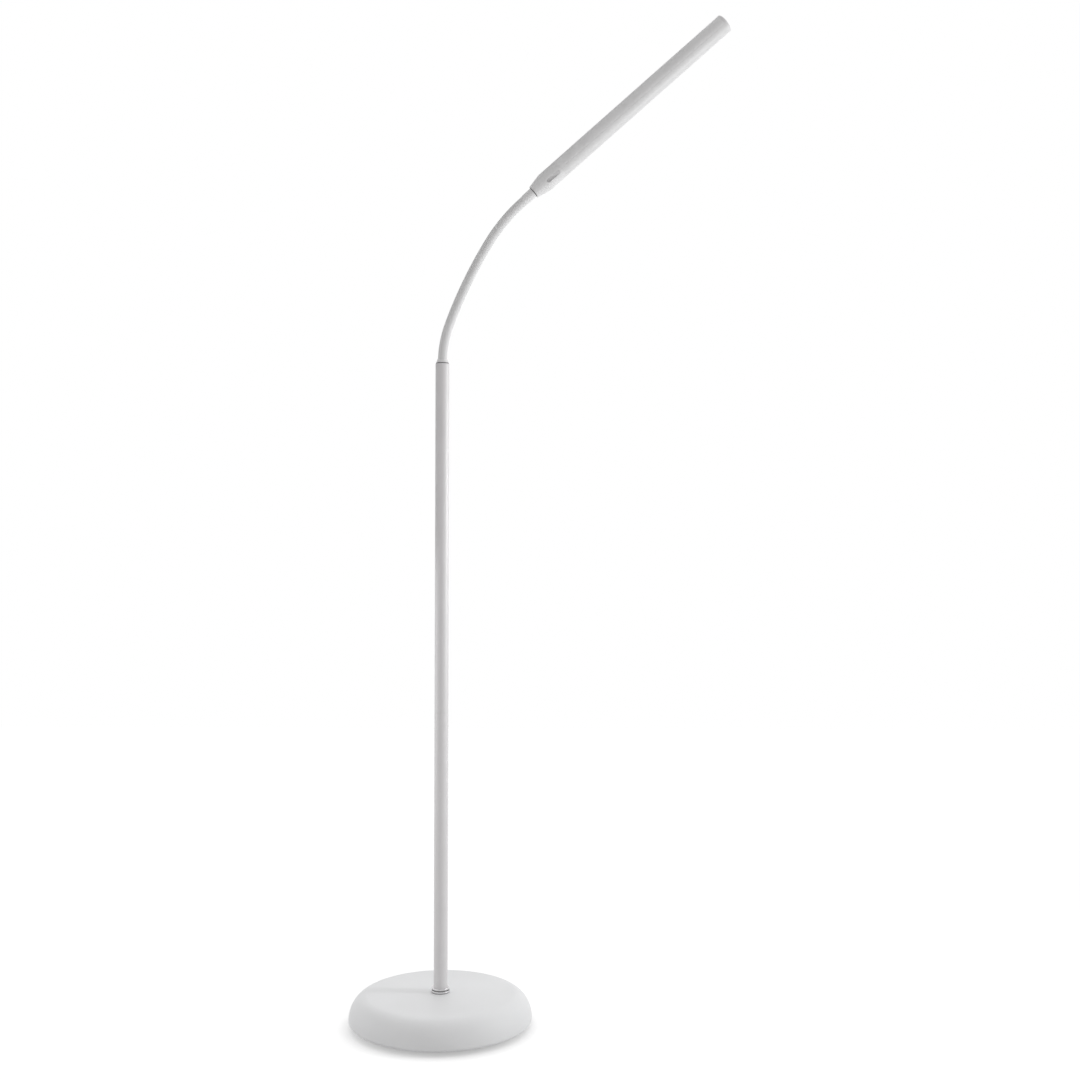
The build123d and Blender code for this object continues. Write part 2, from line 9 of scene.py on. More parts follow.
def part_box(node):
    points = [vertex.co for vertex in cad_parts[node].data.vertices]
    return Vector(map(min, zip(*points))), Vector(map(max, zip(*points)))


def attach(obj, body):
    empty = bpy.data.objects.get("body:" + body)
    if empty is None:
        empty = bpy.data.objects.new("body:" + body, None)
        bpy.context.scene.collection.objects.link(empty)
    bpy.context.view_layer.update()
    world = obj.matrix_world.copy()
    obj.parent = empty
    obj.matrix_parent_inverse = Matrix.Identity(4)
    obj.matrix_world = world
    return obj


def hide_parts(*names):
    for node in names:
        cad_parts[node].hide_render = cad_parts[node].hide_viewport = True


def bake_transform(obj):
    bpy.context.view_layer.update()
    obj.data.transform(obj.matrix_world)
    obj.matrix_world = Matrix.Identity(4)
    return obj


bl_info = {
    "name": "Gooseneck floor lamp",
    "version": (1, 0, 0),
    "blender": (4, 5, 0),
    "location": "3D View > Sidebar > Lamp",
    "description": "Dresses the packed floor lamp with detailed pieces and finishes",
    "category": "Object",
}

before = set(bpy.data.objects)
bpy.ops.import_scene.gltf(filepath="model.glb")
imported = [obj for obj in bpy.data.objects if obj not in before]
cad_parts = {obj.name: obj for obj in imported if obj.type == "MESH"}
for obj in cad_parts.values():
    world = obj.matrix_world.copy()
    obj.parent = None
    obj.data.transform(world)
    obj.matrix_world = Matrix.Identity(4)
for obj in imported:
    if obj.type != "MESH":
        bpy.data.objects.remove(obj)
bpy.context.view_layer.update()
parts_collection = bpy.context.scene.collection

# Difference in size between pieces that fit together
slip = 0.00005
# Rounding of the edges where the head's shells meet
shell_edge = 0.00015
# Place of the first plate screw on its circle, in degrees
first_screw = 45
# Most that a screw is turned about its axis by chance, in radians
screw_turn = 6.0


# Settings


def length(name, description, default):
    """Setting for a size in metres."""
    return FloatProperty(name=name, description=description, default=default, unit="LENGTH", precision=5)


def angle(name, description, degrees):
    """Setting for an angle, given in degrees."""
    return FloatProperty(
        name=name, description=description, default=math.radians(degrees), subtype="ANGLE", unit="ROTATION"
    )


def count(name, description, default):
    """Setting for a number of like things."""
    return IntProperty(name=name, description=description, default=default, min=1)


def tint(name, description, red, green, blue):
    """Setting for a colour."""
    return FloatVectorProperty(
        name=name, description=description, default=(red, green, blue, 1), size=4, min=0, max=1,
        subtype="COLOR",
    )


def strength(name, description, default):
    """Setting for the strength of a light."""
    return FloatProperty(name=name, description=description, default=default, min=0)


def position(name, description, *default):
    """Setting for a place."""
    return FloatVectorProperty(name=name, description=description, default=default, subtype="TRANSLATION")


def extent(name, description, *default):
    """Setting for a width and a height."""
    return FloatVectorProperty(name=name, description=description, default=default, size=2, unit="LENGTH")


class LampBase(bpy.types.PropertyGroup):
    """Sizes of the weighted base"""

    radius: length("Radius", "Widest radius of the cover", 0.125)
    equator: length("Equator", "Height of the cover's widest place", 0.011)
    top: length("Top", "Height of the seat round the pole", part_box("base_cover")[1].z)
    crown_drop: length("Crown drop", "How far the top falls from its middle to its shoulder", 0.0013)
    flat_radius: length("Flat radius", "Radius of the nearly flat top", 0.098)
    lip_radius: length("Lip radius", "Radius where the cover turns in underneath", 0.092)
    lip_height: length("Lip height", "Height of the lip above the floor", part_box("base_cover")[0].z)
    wall: length("Wall", "Thickness of the cover", 0.0028)
    seat_radius: length("Seat radius", "Radius of the flat seat round the pole", 0.016)
    hub_radius: length("Hub radius", "Radius of the hub inside the cover", 0.018)
    hub_bore: length("Hub bore", "Radius of the hole through the hub", 0.0053)
    screw_count: count("Plate screws", "Number of screws through the bottom plate", 4)
    screw_circle: length("Screw circle", "Radius of the circle that the plate's screws stand on", 0.084)
    boss_radius: length("Boss radius", "Radius of the posts that the plate's screws hold in", 0.0045)
    pilot_radius: length("Pilot radius", "Radius of the hole in each post", 0.00155)
    screw_head: length("Screw head", "Radius of a plate screw's head", 0.0032)
    pad_rounding: length("Pad rounding", "Rounding of the pad's rim", 0.0006)


class LampInlet(bpy.types.PropertyGroup):
    """Sizes of the power inlet at the back of the base"""

    height: length("Height", "Height of the inlet's axis", 0.021)
    pocket_radius: length("Pocket radius", "Radius of the pocket in the cover", 0.0085)
    pocket_floor: length("Pocket floor", "Distance of the pocket's floor from the pole", 0.113)
    panel: length("Panel", "Thickness of the pocket's floor", 0.003)
    barrel_radius: length("Barrel radius", "Radius of the threaded barrel", 0.004)
    barrel_front: length(
        "Barrel front", "Distance of the barrel's mouth from the pole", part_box("dc_socket")[1].y
    )
    body_radius: length("Body radius", "Radius of the socket's body", 0.0055)
    body_back: length("Body back", "Distance of the body's back from the pole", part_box("dc_socket")[0].y)
    hole_radius: length("Hole radius", "Radius of the hole for the plug", 0.00285)
    hole_depth: length("Hole depth", "Depth of the hole for the plug", 0.009)
    pin_radius: length("Pin radius", "Radius of the centre pin", 0.001)
    thread_pitch: length("Thread pitch", "Distance between the barrel's threads", 0.0006)
    nut_flats: length("Nut flats", "Width of the nut across its flats", 0.011)
    nut_thickness: length("Nut thickness", "Thickness of the nut", 0.002)


class LampPole(bpy.types.PropertyGroup):
    """Sizes of the pole, the ring at its foot and the cap at its top"""

    radius: length("Radius", "Outer radius of the pole", 0.0095)
    wall: length("Wall", "Wall of the pole's tubes", 0.0012)
    seam: length("Seam", "Height of the seam between the two tubes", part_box("pole_upper")[0].z)
    top: length("Top", "Height of the upper tube's end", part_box("pole_upper")[1].z)
    seam_chamfer: length("Seam chamfer", "Rounding of the tubes' ends", 0.0003)
    ring_radius: length("Ring radius", "Radius of the lower ring", 0.0128)
    ring_height: length("Ring height", "Height of the lower ring", 0.003)
    groove_radius: length("Groove radius", "Radius at the bottom of the groove", 0.0114)
    groove_height: length("Groove height", "Height of the groove", 0.0013)
    flange_radius: length("Flange radius", "Radius of the upper ring", 0.0122)
    flange_height: length("Flange height", "Height of the upper ring", 0.0023)
    # The dark gasket below the ring paints the shade where the ring meets the base
    gasket: length("Gasket", "Thickness of the gasket below the ring", 0.0006)
    ring_edge: length("Ring edge", "Rounding of the rings' edges", 0.0005)
    socket_bottom: length(
        "Socket bottom", "Height of the neck socket's lower end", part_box("neck_socket")[0].z
    )
    tube_drop: length("Tube drop", "How far the upper tube ends below the socket's seat", 0.002)
    cap_height: length("Cap height", "Height of the tapered cap", 0.0062)
    cap_foot: length("Cap foot", "Radius of the cap where it meets the pole", 0.0086)
    cap_mouth: length("Cap mouth", "Radius of the cap where the neck comes out", 0.00685)
    cap_groove: length("Cap groove", "Radius of the shadow groove below the cap", 0.0078)
    cap_shadow: length("Cap shadow", "Height of the shadow groove below the cap", 0.0012)


class LampNeck(bpy.types.PropertyGroup):
    """Sizes of the gooseneck and of the ferrule above it"""

    length: length("Length", "Length of the bending neck along its middle", 0.2513)
    joints: count("Joints", "Number of places where the neck bends", 12)
    told_from_pole: count("Told from pole", "Number of lengths whose bend is told from the pole up", 4)
    radius: length("Radius", "Outer radius of the sleeve", 0.00625)
    wall: length("Wall", "Thickness of the sleeve", 0.00125)
    core_gap: length("Core gap", "Gap between the sleeve and the wound core", 0.00005)
    core_bore: length("Core bore", "Radius of the hole through the core", 0.003)
    winding_depth: length("Winding depth", "Depth of the grooves between the core's turns", 0.0003)
    winding_pitch: length("Winding pitch", "Distance between the core's turns", 0.0035)
    lead_radius: length("Lead radius", "Radius of the supply lead inside", 0.0015)
    cap_hold: length("Cap hold", "Length of the neck that the socket's cap keeps straight", 0.005)
    zone_shares: FloatVectorProperty(
        name="Zone shares", description="Joints in the neck's lower, middle and upper zone",
        default=(2.5, 6.0, 3.5),
    )
    zone_turns: FloatVectorProperty(
        name="Zone turns", description="How far each zone bends over", subtype="EULER", unit="ROTATION",
        default=(math.radians(20), math.radians(11.2), math.radians(17.1)),
    )
    ferrule_radius: length("Ferrule radius", "Radius of the ferrule below the head", 0.0069)
    ferrule_length: length("Ferrule length", "Length of the ferrule below its groove", 0.018)
    ferrule_taper: length("Ferrule taper", "Length of the ferrule's tapered foot", 0.006)
    # The dark seal in this groove paints the joint line's shade
    ferrule_groove: length("Ferrule groove", "Height of the dark joint line below the head", 0.001)
    spigot_radius: length("Spigot radius", "Radius of the spigot inside the head", 0.006)
    spigot_length: length("Spigot length", "Length of the spigot inside the head", 0.016)


class LampHead(bpy.types.PropertyGroup):
    """Sizes of the tubular head, its switch and its light board"""

    radius: length("Radius", "Outer radius of the head", 0.013)
    length: length("Length", "Length from the cone's small end to the tip", 0.349)
    cone_small: length("Cone radius", "Radius of the cone's small end", 0.0089)
    cone_length: length("Cone length", "Length of the taper", 0.02)
    cone_end: length("Cone end", "Where the shells start", 0.048)
    cavity_radius: length("Cavity radius", "Radius of the hollow behind the switch", 0.0099)
    cavity_start: length("Cavity start", "Where the hollow starts", 0.019)
    inner_spigot: length("Inner spigot", "Length of the cone inside the shells", 0.012)
    housing_wall: length("Housing wall", "Wall of the upper shell", 0.0015)
    diffuser_wall: length("Diffuser wall", "Wall of the diffuser", 0.0013)
    split: length("Split", "Where the shells part, from the axis towards the light", 0.0026)
    split_gap: length("Split gap", "Hairline gap between the shells", 0.00008)
    cap_thickness: length("Cap thickness", "Thickness of the end cap", 0.004)
    cap_edge: length("Cap edge", "Rounding of the tip", 0.0006)
    slot_place: length("Slot place", "Middle of the switch's slot", 0.0327)
    slot_length: length("Slot length", "Length of the switch's slot", 0.0226)
    slot_width: length("Slot width", "Width of the switch's slot", 0.0052)
    slot_tilt: angle("Slot tilt", "Turn of the switch from the side towards the light", 18)
    button_gap: length("Button gap", "Gap round the button", 0.00008)
    button_deep: length("Button depth at neck", "How deep the button lies at its neck end", 0.0032)
    button_shallow: length("Button depth at tip", "How deep the button lies at its tip end", 0.00005)
    flange_lip: length("Flange lip", "How far the button's flange reaches past the slot", 0.0007)
    flange_thickness: length("Flange thickness", "Thickness of the button's flange", 0.0008)
    screw_place: length("Screw place", "Where the set screw stands", 0.008)
    screw_radius: length("Screw radius", "Radius of the set screw's hole", 0.00155)
    board_start: length("Board start", "Where the light board starts", 0.061)
    board_end: length("Board end", "Where the light board ends", 0.336)
    board_front: length("Board front", "Height of the board's front over the axis", 0.0026)
    web_back: length("Web back", "Height of the web's back over the axis", 0.0002)
    web_front: length("Web front", "Height of the web's front over the axis", 0.0014)
    chips: count("Chips", "Number of light-emitting chips", 36)
    chip_margin: length("Chip margin", "Distance of the first chip from the board's end", 0.006)
    chip_length: length("Chip length", "Length of a chip along the head", 0.0028)
    chip_width: length("Chip width", "Width of a chip", 0.0035)
    chip_height: length("Chip height", "Height of a chip", 0.0007)
    screw_side: length("Board screw side", "Distance of the board's screws from its middle", 0.0065)
    screw_margin: length("Board screw margin", "Distance of the first screws from the board's end", 0.01)
    screw_pairs: count("Board screw pairs", "Pairs of screws along the board", 3)


class LampFinishes(bpy.types.PropertyGroup):
    """Colours of the lamp's finishes"""

    cover: tint("Cover", "Moulded base cover", 0.857, 0.86, 0.866)
    fitting: tint("Fitting", "Moulded cone, tip, ferrule and neck cap", 0.86, 0.855, 0.857)
    paint: tint("Paint", "Powder coat on the pole", 0.76, 0.744, 0.749)
    alloy: tint("Alloy", "Coat on the head's upper shell", 0.9, 0.895, 0.897)
    sleeve: tint("Sleeve", "Soft sleeve of the neck", 0.79, 0.785, 0.786)
    opal: tint("Opal", "Diffuser", 0.825, 0.822, 0.821)
    button: tint("Button", "Switch button", 0.72, 0.715, 0.718)
    ring: tint("Ring", "Bright ring at the pole's foot", 0.72, 0.71, 0.72)
    steel: tint("Steel", "Zinc plated screws, nuts and tubes", 0.55, 0.55, 0.56)
    plate: tint("Plate", "Coat of the bottom plate", 0.05, 0.05, 0.052)
    iron: tint("Iron", "Cast weight", 0.07, 0.068, 0.066)
    pad: tint("Pad", "Soft pad under the base", 0.022, 0.022, 0.022)
    # Dark seals whose colour paints the shade in the grooves and below the foot ring
    shade_seal: tint("Seal", "Seals in the ring's groove and at the head's joint", 0.16, 0.157, 0.158)
    plastic: tint("Plastic", "Black mouldings", 0.018, 0.018, 0.019)
    jacket: tint("Jacket", "Jacket of the leads", 0.62, 0.62, 0.61)
    board: tint("Light board", "White lacquer of the light board", 0.78, 0.78, 0.76)
    circuit: tint("Circuit board", "Green lacquer of the circuit board", 0.01, 0.11, 0.04)
    phosphor: tint("Phosphor", "Face of the light-emitting chips", 0.78, 0.55, 0.09)
    brass: tint("Brass", "Turned brass", 0.62, 0.42, 0.14)


class LampStage(bpy.types.PropertyGroup):
    """Camera, floor and light"""

    eye: position("Eye", "Place of the camera", 0.1342, -1.918, 0.664)
    roll: FloatProperty(
        name="Roll", description="How far the camera leans", default=-0.003, subtype="ANGLE", unit="ROTATION"
    )
    lens: FloatProperty(name="Lens", description="Focal length in millimetres", default=46.7, unit="CAMERA")
    floor_size: length("Floor size", "Width of the floor", 6.0)
    floor_share: FloatProperty(
        name="Shadow share", description="How much of the floor's white comes from the light",
        default=0.4, min=0, max=1,
    )
    # This reach sets how far the painted shade beside the base reaches
    painted_shadow_reach: length("Shadow reach", "How far the shadow beside the base reaches", 0.02)
    fill: strength("Fill", "Strength of the even light from all round", 0.48)
    fill_tint: tint("Fill tint", "Tint of the even light", 1.0, 0.988, 0.985)
    top: strength("Top", "Strength of the soft light from above", 0.9)
    top_size: angle("Top size", "How wide the light from above looks from the lamp", 70)
    top_from: FloatVectorProperty(
        name="Top from", description="Direction of the light from above, seen from the lamp",
        default=(0.12, 0.42, 1.0), subtype="DIRECTION",
    )
    strip: strength("Strip", "Watts of the strip light on the right", 4.9)
    strip_place: position("Strip place", "Place of the strip light", 1.2, -0.12, 0.72)
    strip_size: extent("Strip size", "Width and height of the strip light", 0.22, 0.9)
    low: strength("Low light", "Watts of the weak low light on the left", 0.8)
    low_place: position("Low place", "Place of the low light", -1.1, -0.25, 0.4)
    low_size: extent("Low size", "Width and height of the low light", 0.6, 0.6)
    edge: strength("Edge light", "Watts of the light behind the pole on the right", 0.26)
    edge_place: position("Edge place", "Place of the edge light", 1.03, 0.18, 0.76)
    rim: strength("Rim light", "Watts of the light behind the pole on the left", 0.15)
    rim_place: position("Rim place", "Place of the rim light", -1.04, 0.08, 0.4)
    edge_size: extent("Edge size", "Width and height of the edge light and the rim light", 0.2, 0.3)
    edge_spread: angle("Edge spread", "How wide the edge light and the rim light throw", 60)
    card_low: length("Card foot", "Height of the shade card's lower end", 0.62)
    card_gap: length("Card gap", "Distance of the shade card from the pole and the head", 0.17)
    card_reach: length("Card reach", "How far the shade card goes on beyond the head's tip", 0.2)
    card_width: length("Card width", "Width of the shade card", 0.36)
    light_tint: tint("Light tint", "Tint of the lights", 0.975, 0.992, 1.0)


class LampSettings(bpy.types.PropertyGroup):
    """All settings of the lamp"""

    base: PointerProperty(type=LampBase)
    inlet: PointerProperty(type=LampInlet)
    pole: PointerProperty(type=LampPole)
    neck: PointerProperty(type=LampNeck)
    head: PointerProperty(type=LampHead)
    finishes: PointerProperty(type=LampFinishes)
    stage: PointerProperty(type=LampStage)


def settings():
    """The scene's lamp settings."""
    return bpy.context.scene.lamp


# Outlines and meshes


def ellipse(centre, size, start, end, steps):
    """Points of radius and height on an ellipse, between two angles in degrees."""
    points = []
    for i in range(steps + 1):
        turn = math.radians(start + (end - start) * i / steps)
        points.append((centre[0] + size[0] * math.cos(turn), centre[1] + size[1] * math.sin(turn)))
    return points


def rounded(corners, steps=4):
    """Closed outline from corners of radius, height and rounding, with a point on each side of a rounding."""
    most_of_side = 0.4
    point_beyond = 0.4
    outline = []
    for i, (radius, height, rounding) in enumerate(corners):
        here = Vector((radius, height))
        if rounding == 0:
            outline.append((radius, height))
            continue
        before = Vector(corners[i - 1][:2]) - here
        after = Vector(corners[(i + 1) % len(corners)][:2]) - here
        half = before.angle(after) / 2
        reach = min(rounding / math.tan(half), most_of_side * before.length, most_of_side * after.length)
        middle = here + (before.normalized() + after.normalized()).normalized() * reach / math.cos(half)
        start = here + before.normalized() * reach
        end = here + after.normalized() * reach
        first = math.atan2(start.y - middle.y, start.x - middle.x)
        swing = math.atan2(end.y - middle.y, end.x - middle.x) - first
        swing = (swing + math.pi) % (2 * math.pi) - math.pi
        curve = (start - middle).length
        outline.append(tuple(start + before.normalized() * reach * point_beyond))
        for step in range(steps + 1):
            turn = first + swing * step / steps
            outline.append((middle.x + curve * math.cos(turn), middle.y + curve * math.sin(turn)))
        outline.append(tuple(end + after.normalized() * reach * point_beyond))
    return outline


def all_round(steps):
    """Even turns round a whole circle."""
    return [2 * math.pi * k / steps for k in range(steps)]


def arc(shape, radius, level, turns):
    """Corners at some turns round the Z axis, added to a shape."""
    return [shape.verts.new((radius * math.cos(t), radius * math.sin(t), level)) for t in turns]


def turned(outline, segments=96):
    """Shape of a closed outline of radius and height, turned round the Z axis."""
    shape = bmesh.new()
    on_axis = 1e-7
    rings = []
    for radius, height in outline:
        if radius < on_axis:
            rings.append([shape.verts.new((0, 0, height))])
        else:
            rings.append(arc(shape, radius, height, all_round(segments)))
    for i, ring in enumerate(rings):
        following = rings[(i + 1) % len(rings)]
        if len(ring) == 1 and len(following) == 1:
            continue
        for k in range(segments):
            corners = [ring[k % len(ring)], ring[(k + 1) % len(ring)]]
            corners += [following[(k + 1) % len(following)], following[k % len(following)]]
            shape.faces.new(list(dict.fromkeys(corners)))
    bmesh.ops.recalc_face_normals(shape, faces=shape.faces)
    return shape


def band(inner, outer, low, high):
    """Outline of a plain ring."""
    return [(inner, low), (outer, low), (outer, high), (inner, high)]


def rod(radius, low, high, segments=48):
    """Plain rod along the Z axis, for cutting and joining."""
    return turned(band(0, radius, low, high), segments)


def oblong(size, width, low, high_start, high_end, steps=12):
    """Prism with round ends along X, whose top may slope from one end to the other."""
    shape = bmesh.new()
    straight = (size - width) / 2
    outline = []
    for end, first in ((1, -90), (-1, 90)):
        for i in range(steps + 1):
            turn = math.radians(first + 180 * i / steps)
            outline.append((end * straight + width / 2 * math.cos(turn), width / 2 * math.sin(turn)))
    bottom = [shape.verts.new((x, y, low)) for x, y in outline]
    top = []
    for x, y in outline:
        share = x / size + 0.5
        top.append(shape.verts.new((x, y, high_start + (high_end - high_start) * share)))
    shape.faces.new(bottom)
    shape.faces.new(top)
    for k in range(len(outline)):
        after = (k + 1) % len(outline)
        shape.faces.new([bottom[k], bottom[after], top[after], top[k]])
    bmesh.ops.recalc_face_normals(shape, faces=shape.faces)
    return shape


def half_shell(outer, inner, split, side, low, high, steps=48):
    """Part of a tube along Z on one side of a plane: side is 1 for the light's side and -1 for the other."""
    shape = bmesh.new()
    rows = []
    for level in (low, high):
        for radius in (outer, inner):
            limit = math.acos(split / radius)
            start, end = (-limit, limit) if side > 0 else (limit, 2 * math.pi - limit)
            turns = [start + (end - start) * i / steps for i in range(steps + 1)]
            rows.append(arc(shape, radius, level, turns))
    low_outer, low_inner, high_outer, high_inner = rows
    faces = [(low_outer, high_outer), (low_inner, high_inner)]
    faces += [(low_outer, low_inner), (high_outer, high_inner)]
    for one, two in faces:
        for k in range(steps):
            shape.faces.new([one[k], one[k + 1], two[k + 1], two[k]])
    for end in (0, steps):
        shape.faces.new([low_outer[end], low_inner[end], high_inner[end], high_outer[end]])
    bmesh.ops.recalc_face_normals(shape, faces=shape.faces)
    return shape


def hexagon(flats, low, high, hole, chamfer, steps=48):
    """Hexagon nut along Z with a round hole and corners turned off."""
    shape = bmesh.new()
    rows = []
    corner_turn = math.pi / 3
    reach = flats / 2 / math.cos(math.pi / 6)
    corner_cut = 1.7
    for level, ends in ((low, 1), (low + chamfer, 0), (high - chamfer, 0), (high, 1)):
        row = []
        for turn in all_round(steps):
            from_flat = (turn + corner_turn / 2) % corner_turn - corner_turn / 2
            radius = flats / 2 / math.cos(from_flat)
            if ends:
                radius = min(radius, reach - chamfer * corner_cut)
            row.append(shape.verts.new((radius * math.cos(turn), radius * math.sin(turn), level)))
        rows.append(row)
    for level in (high, low):
        rows.append(arc(shape, hole, level, all_round(steps)))
    for i, row in enumerate(rows):
        following = rows[(i + 1) % len(rows)]
        for k in range(steps):
            after = (k + 1) % steps
            shape.faces.new([row[k], row[after], following[after], following[k]])
    bmesh.ops.recalc_face_normals(shape, faces=shape.faces)
    return shape


def joined(*shapes):
    """One shape that holds several others."""
    whole = bmesh.new()
    for shape in shapes:
        mesh = bpy.data.meshes.new("part")
        shape.to_mesh(mesh)
        shape.free()
        whole.from_mesh(mesh)
        bpy.data.meshes.remove(mesh)
    return whole


def moved(shape, place):
    """The shape, carried to a place by a matrix."""
    bmesh.ops.transform(shape, matrix=place, verts=shape.verts)
    return shape


def smooth(mesh, degrees=32):
    """Smooth shading that keeps edges sharper than the given angle."""
    mesh.shade_smooth()
    mesh.set_sharp_from_angle(angle=math.radians(degrees))


def piece(name, shape, coat=None):
    """Object at the origin made from a shape."""
    mesh = bpy.data.meshes.new(name)
    shape.to_mesh(mesh)
    shape.free()
    return mesh_piece(name, mesh, coat)


def mesh_piece(name, mesh, coat=None):
    """Object at the origin made from a mesh."""
    smooth(mesh)
    if coat:
        mesh.materials.clear()
        mesh.materials.append(coat)
    thing = bpy.data.objects.new(name, mesh)
    parts_collection.objects.link(thing)
    return thing


def drop(thing):
    """Removes a helper object and its mesh."""
    mesh = thing.data
    bpy.data.objects.remove(thing)
    bpy.data.meshes.remove(mesh)


def settled_mesh(thing):
    """Mesh of an object with its modifiers worked out."""
    bpy.context.view_layer.update()
    graph = bpy.context.evaluated_depsgraph_get()
    return bpy.data.meshes.new_from_object(thing.evaluated_get(graph))


def settle(thing):
    """Works out a piece's modifiers and keeps the result as its mesh."""
    mesh = settled_mesh(thing)
    before = thing.data
    thing.modifiers.clear()
    thing.data = mesh
    bpy.data.meshes.remove(before)


def carve(thing, shape, operation="DIFFERENCE"):
    """Cuts a shape out of a piece, or joins it on."""
    tool = piece("tool", shape)
    modifier = thing.modifiers.new("carve", "BOOLEAN")
    modifier.solver = "EXACT"
    modifier.operation = operation
    modifier.object = tool
    settle(thing)
    drop(tool)


def ease_edges(thing, width, degrees=40, segments=3):
    """Rounds a piece's sharp edges a little."""
    welds_in_width = 20
    shape = bmesh.new()
    shape.from_mesh(thing.data)
    bmesh.ops.remove_doubles(shape, verts=shape.verts, dist=width / welds_in_width)
    shape.to_mesh(thing.data)
    shape.free()
    modifier = thing.modifiers.new("ease", "BEVEL")
    modifier.limit_method = "ANGLE"
    modifier.angle_limit = math.radians(degrees)
    modifier.width = width
    modifier.segments = segments
    settle(thing)
    smooth(thing.data)


def fit(thing, body, slot, *nodes):
    """The piece moves with a body and stands for the named nodes, which it hides. The slot is not used."""
    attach(thing, body)
    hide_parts(*nodes)


def dress(node_name, coat):
    """Gives a node that stays as it is a finish."""
    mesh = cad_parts[node_name].data
    mesh.materials.clear()
    mesh.materials.append(coat)


# Places along the neck and on the head


def neck_place(distance):
    """Point on the neck's middle and its heading from upright, at a distance from the pole's top."""
    neck = settings().neck
    point = Vector((0, 0, settings().pole.top + min(distance, 0)))
    heading = 0.0
    left = max(distance, 0)
    for share, turn in zip(neck.zone_shares, neck.zone_turns):
        zone = neck.length * share / neck.joints
        swing = turn * min(left, zone) / zone
        curve = zone / turn
        ahead = Vector((math.sin(heading), 0, math.cos(heading)))
        aside = Vector((math.cos(heading), 0, -math.sin(heading)))
        point = point + ahead * curve * math.sin(swing) + aside * curve * (1 - math.cos(swing))
        heading = heading + swing
        left = left - min(left, zone)
    return point + Vector((math.sin(heading), 0, math.cos(heading))) * left, heading


def head_place():
    """Matrix from the head's own frame, Z along it and X towards the light, to the lamp's frame."""
    neck = settings().neck
    point, heading = neck_place(neck.length + neck.ferrule_length + neck.ferrule_groove)
    along = Vector((math.sin(heading), 0, math.cos(heading)))
    light = Vector((math.cos(heading), 0, -math.sin(heading)))
    across = Vector((0, 1, 0))
    turn = Matrix((light, across, along)).transposed().to_4x4()
    return Matrix.Translation(point) @ turn


def switch_place():
    """Matrix from the switch's frame, X along the head and Z outwards, to the head's frame."""
    head = settings().head
    out = Vector((math.sin(head.slot_tilt), -math.cos(head.slot_tilt), 0))
    along = Vector((0, 0, 1))
    turn = Matrix((along, out.cross(along), out)).transposed().to_4x4()
    return Matrix.Translation((0, 0, head.slot_place)) @ turn


def rearward(height):
    """Matrix that lays a shape made along Z along Y at a height."""
    return Matrix.Translation((0, 0, height)) @ Matrix.Rotation(math.radians(-90), 4, "X")


# Finishes


def clean_tree(holder):
    """The emptied node tree of a material or a world."""
    holder.use_nodes = True
    holder.node_tree.nodes.clear()
    return holder.node_tree


def node(tree, kind, sockets=None, **values):
    """New node right of the others, with its properties set and its sockets joined to outputs or set."""
    column = 220
    made = tree.nodes.new(kind)
    made.location.x = column * len(tree.nodes)
    for name, value in values.items():
        setattr(made, name, value)
    for name, value in (sockets or {}).items():
        if isinstance(value, bpy.types.NodeSocket):
            tree.links.new(value, made.inputs[name])
        else:
            made.inputs[name].default_value = value
    return made


def grey(level):
    """Grey of a level."""
    return (level, level, level, 1)


def darker(colour, share):
    """The colour, darkened by a share."""
    return (colour[0] * (1 - share), colour[1] * (1 - share), colour[2] * (1 - share), 1)


def pattern(tree, place, kind, scale, detail=0):
    """Output of noise, of round cells or of fine lines across the Z axis, with so many features a metre."""
    wobble = 0.6
    sockets = {"Vector": place, "Scale": scale}
    if kind == "noise":
        return node(tree, "ShaderNodeTexNoise", {**sockets, "Detail": detail}).outputs["Fac"]
    if kind == "cells":
        return node(tree, "ShaderNodeTexVoronoi", sockets).outputs["Distance"]
    sockets["Distortion"] = wobble
    return node(tree, "ShaderNodeTexWave", sockets, wave_type="BANDS", bands_direction="Z").outputs["Fac"]


def spread(tree, value, low, high, start=0.3, end=0.7):
    """A pattern's values, spread between two numbers."""
    sockets = {"Value": value, "From Min": start, "From Max": end, "To Min": low, "To Max": high}
    return node(tree, "ShaderNodeMapRange", sockets).outputs["Result"]


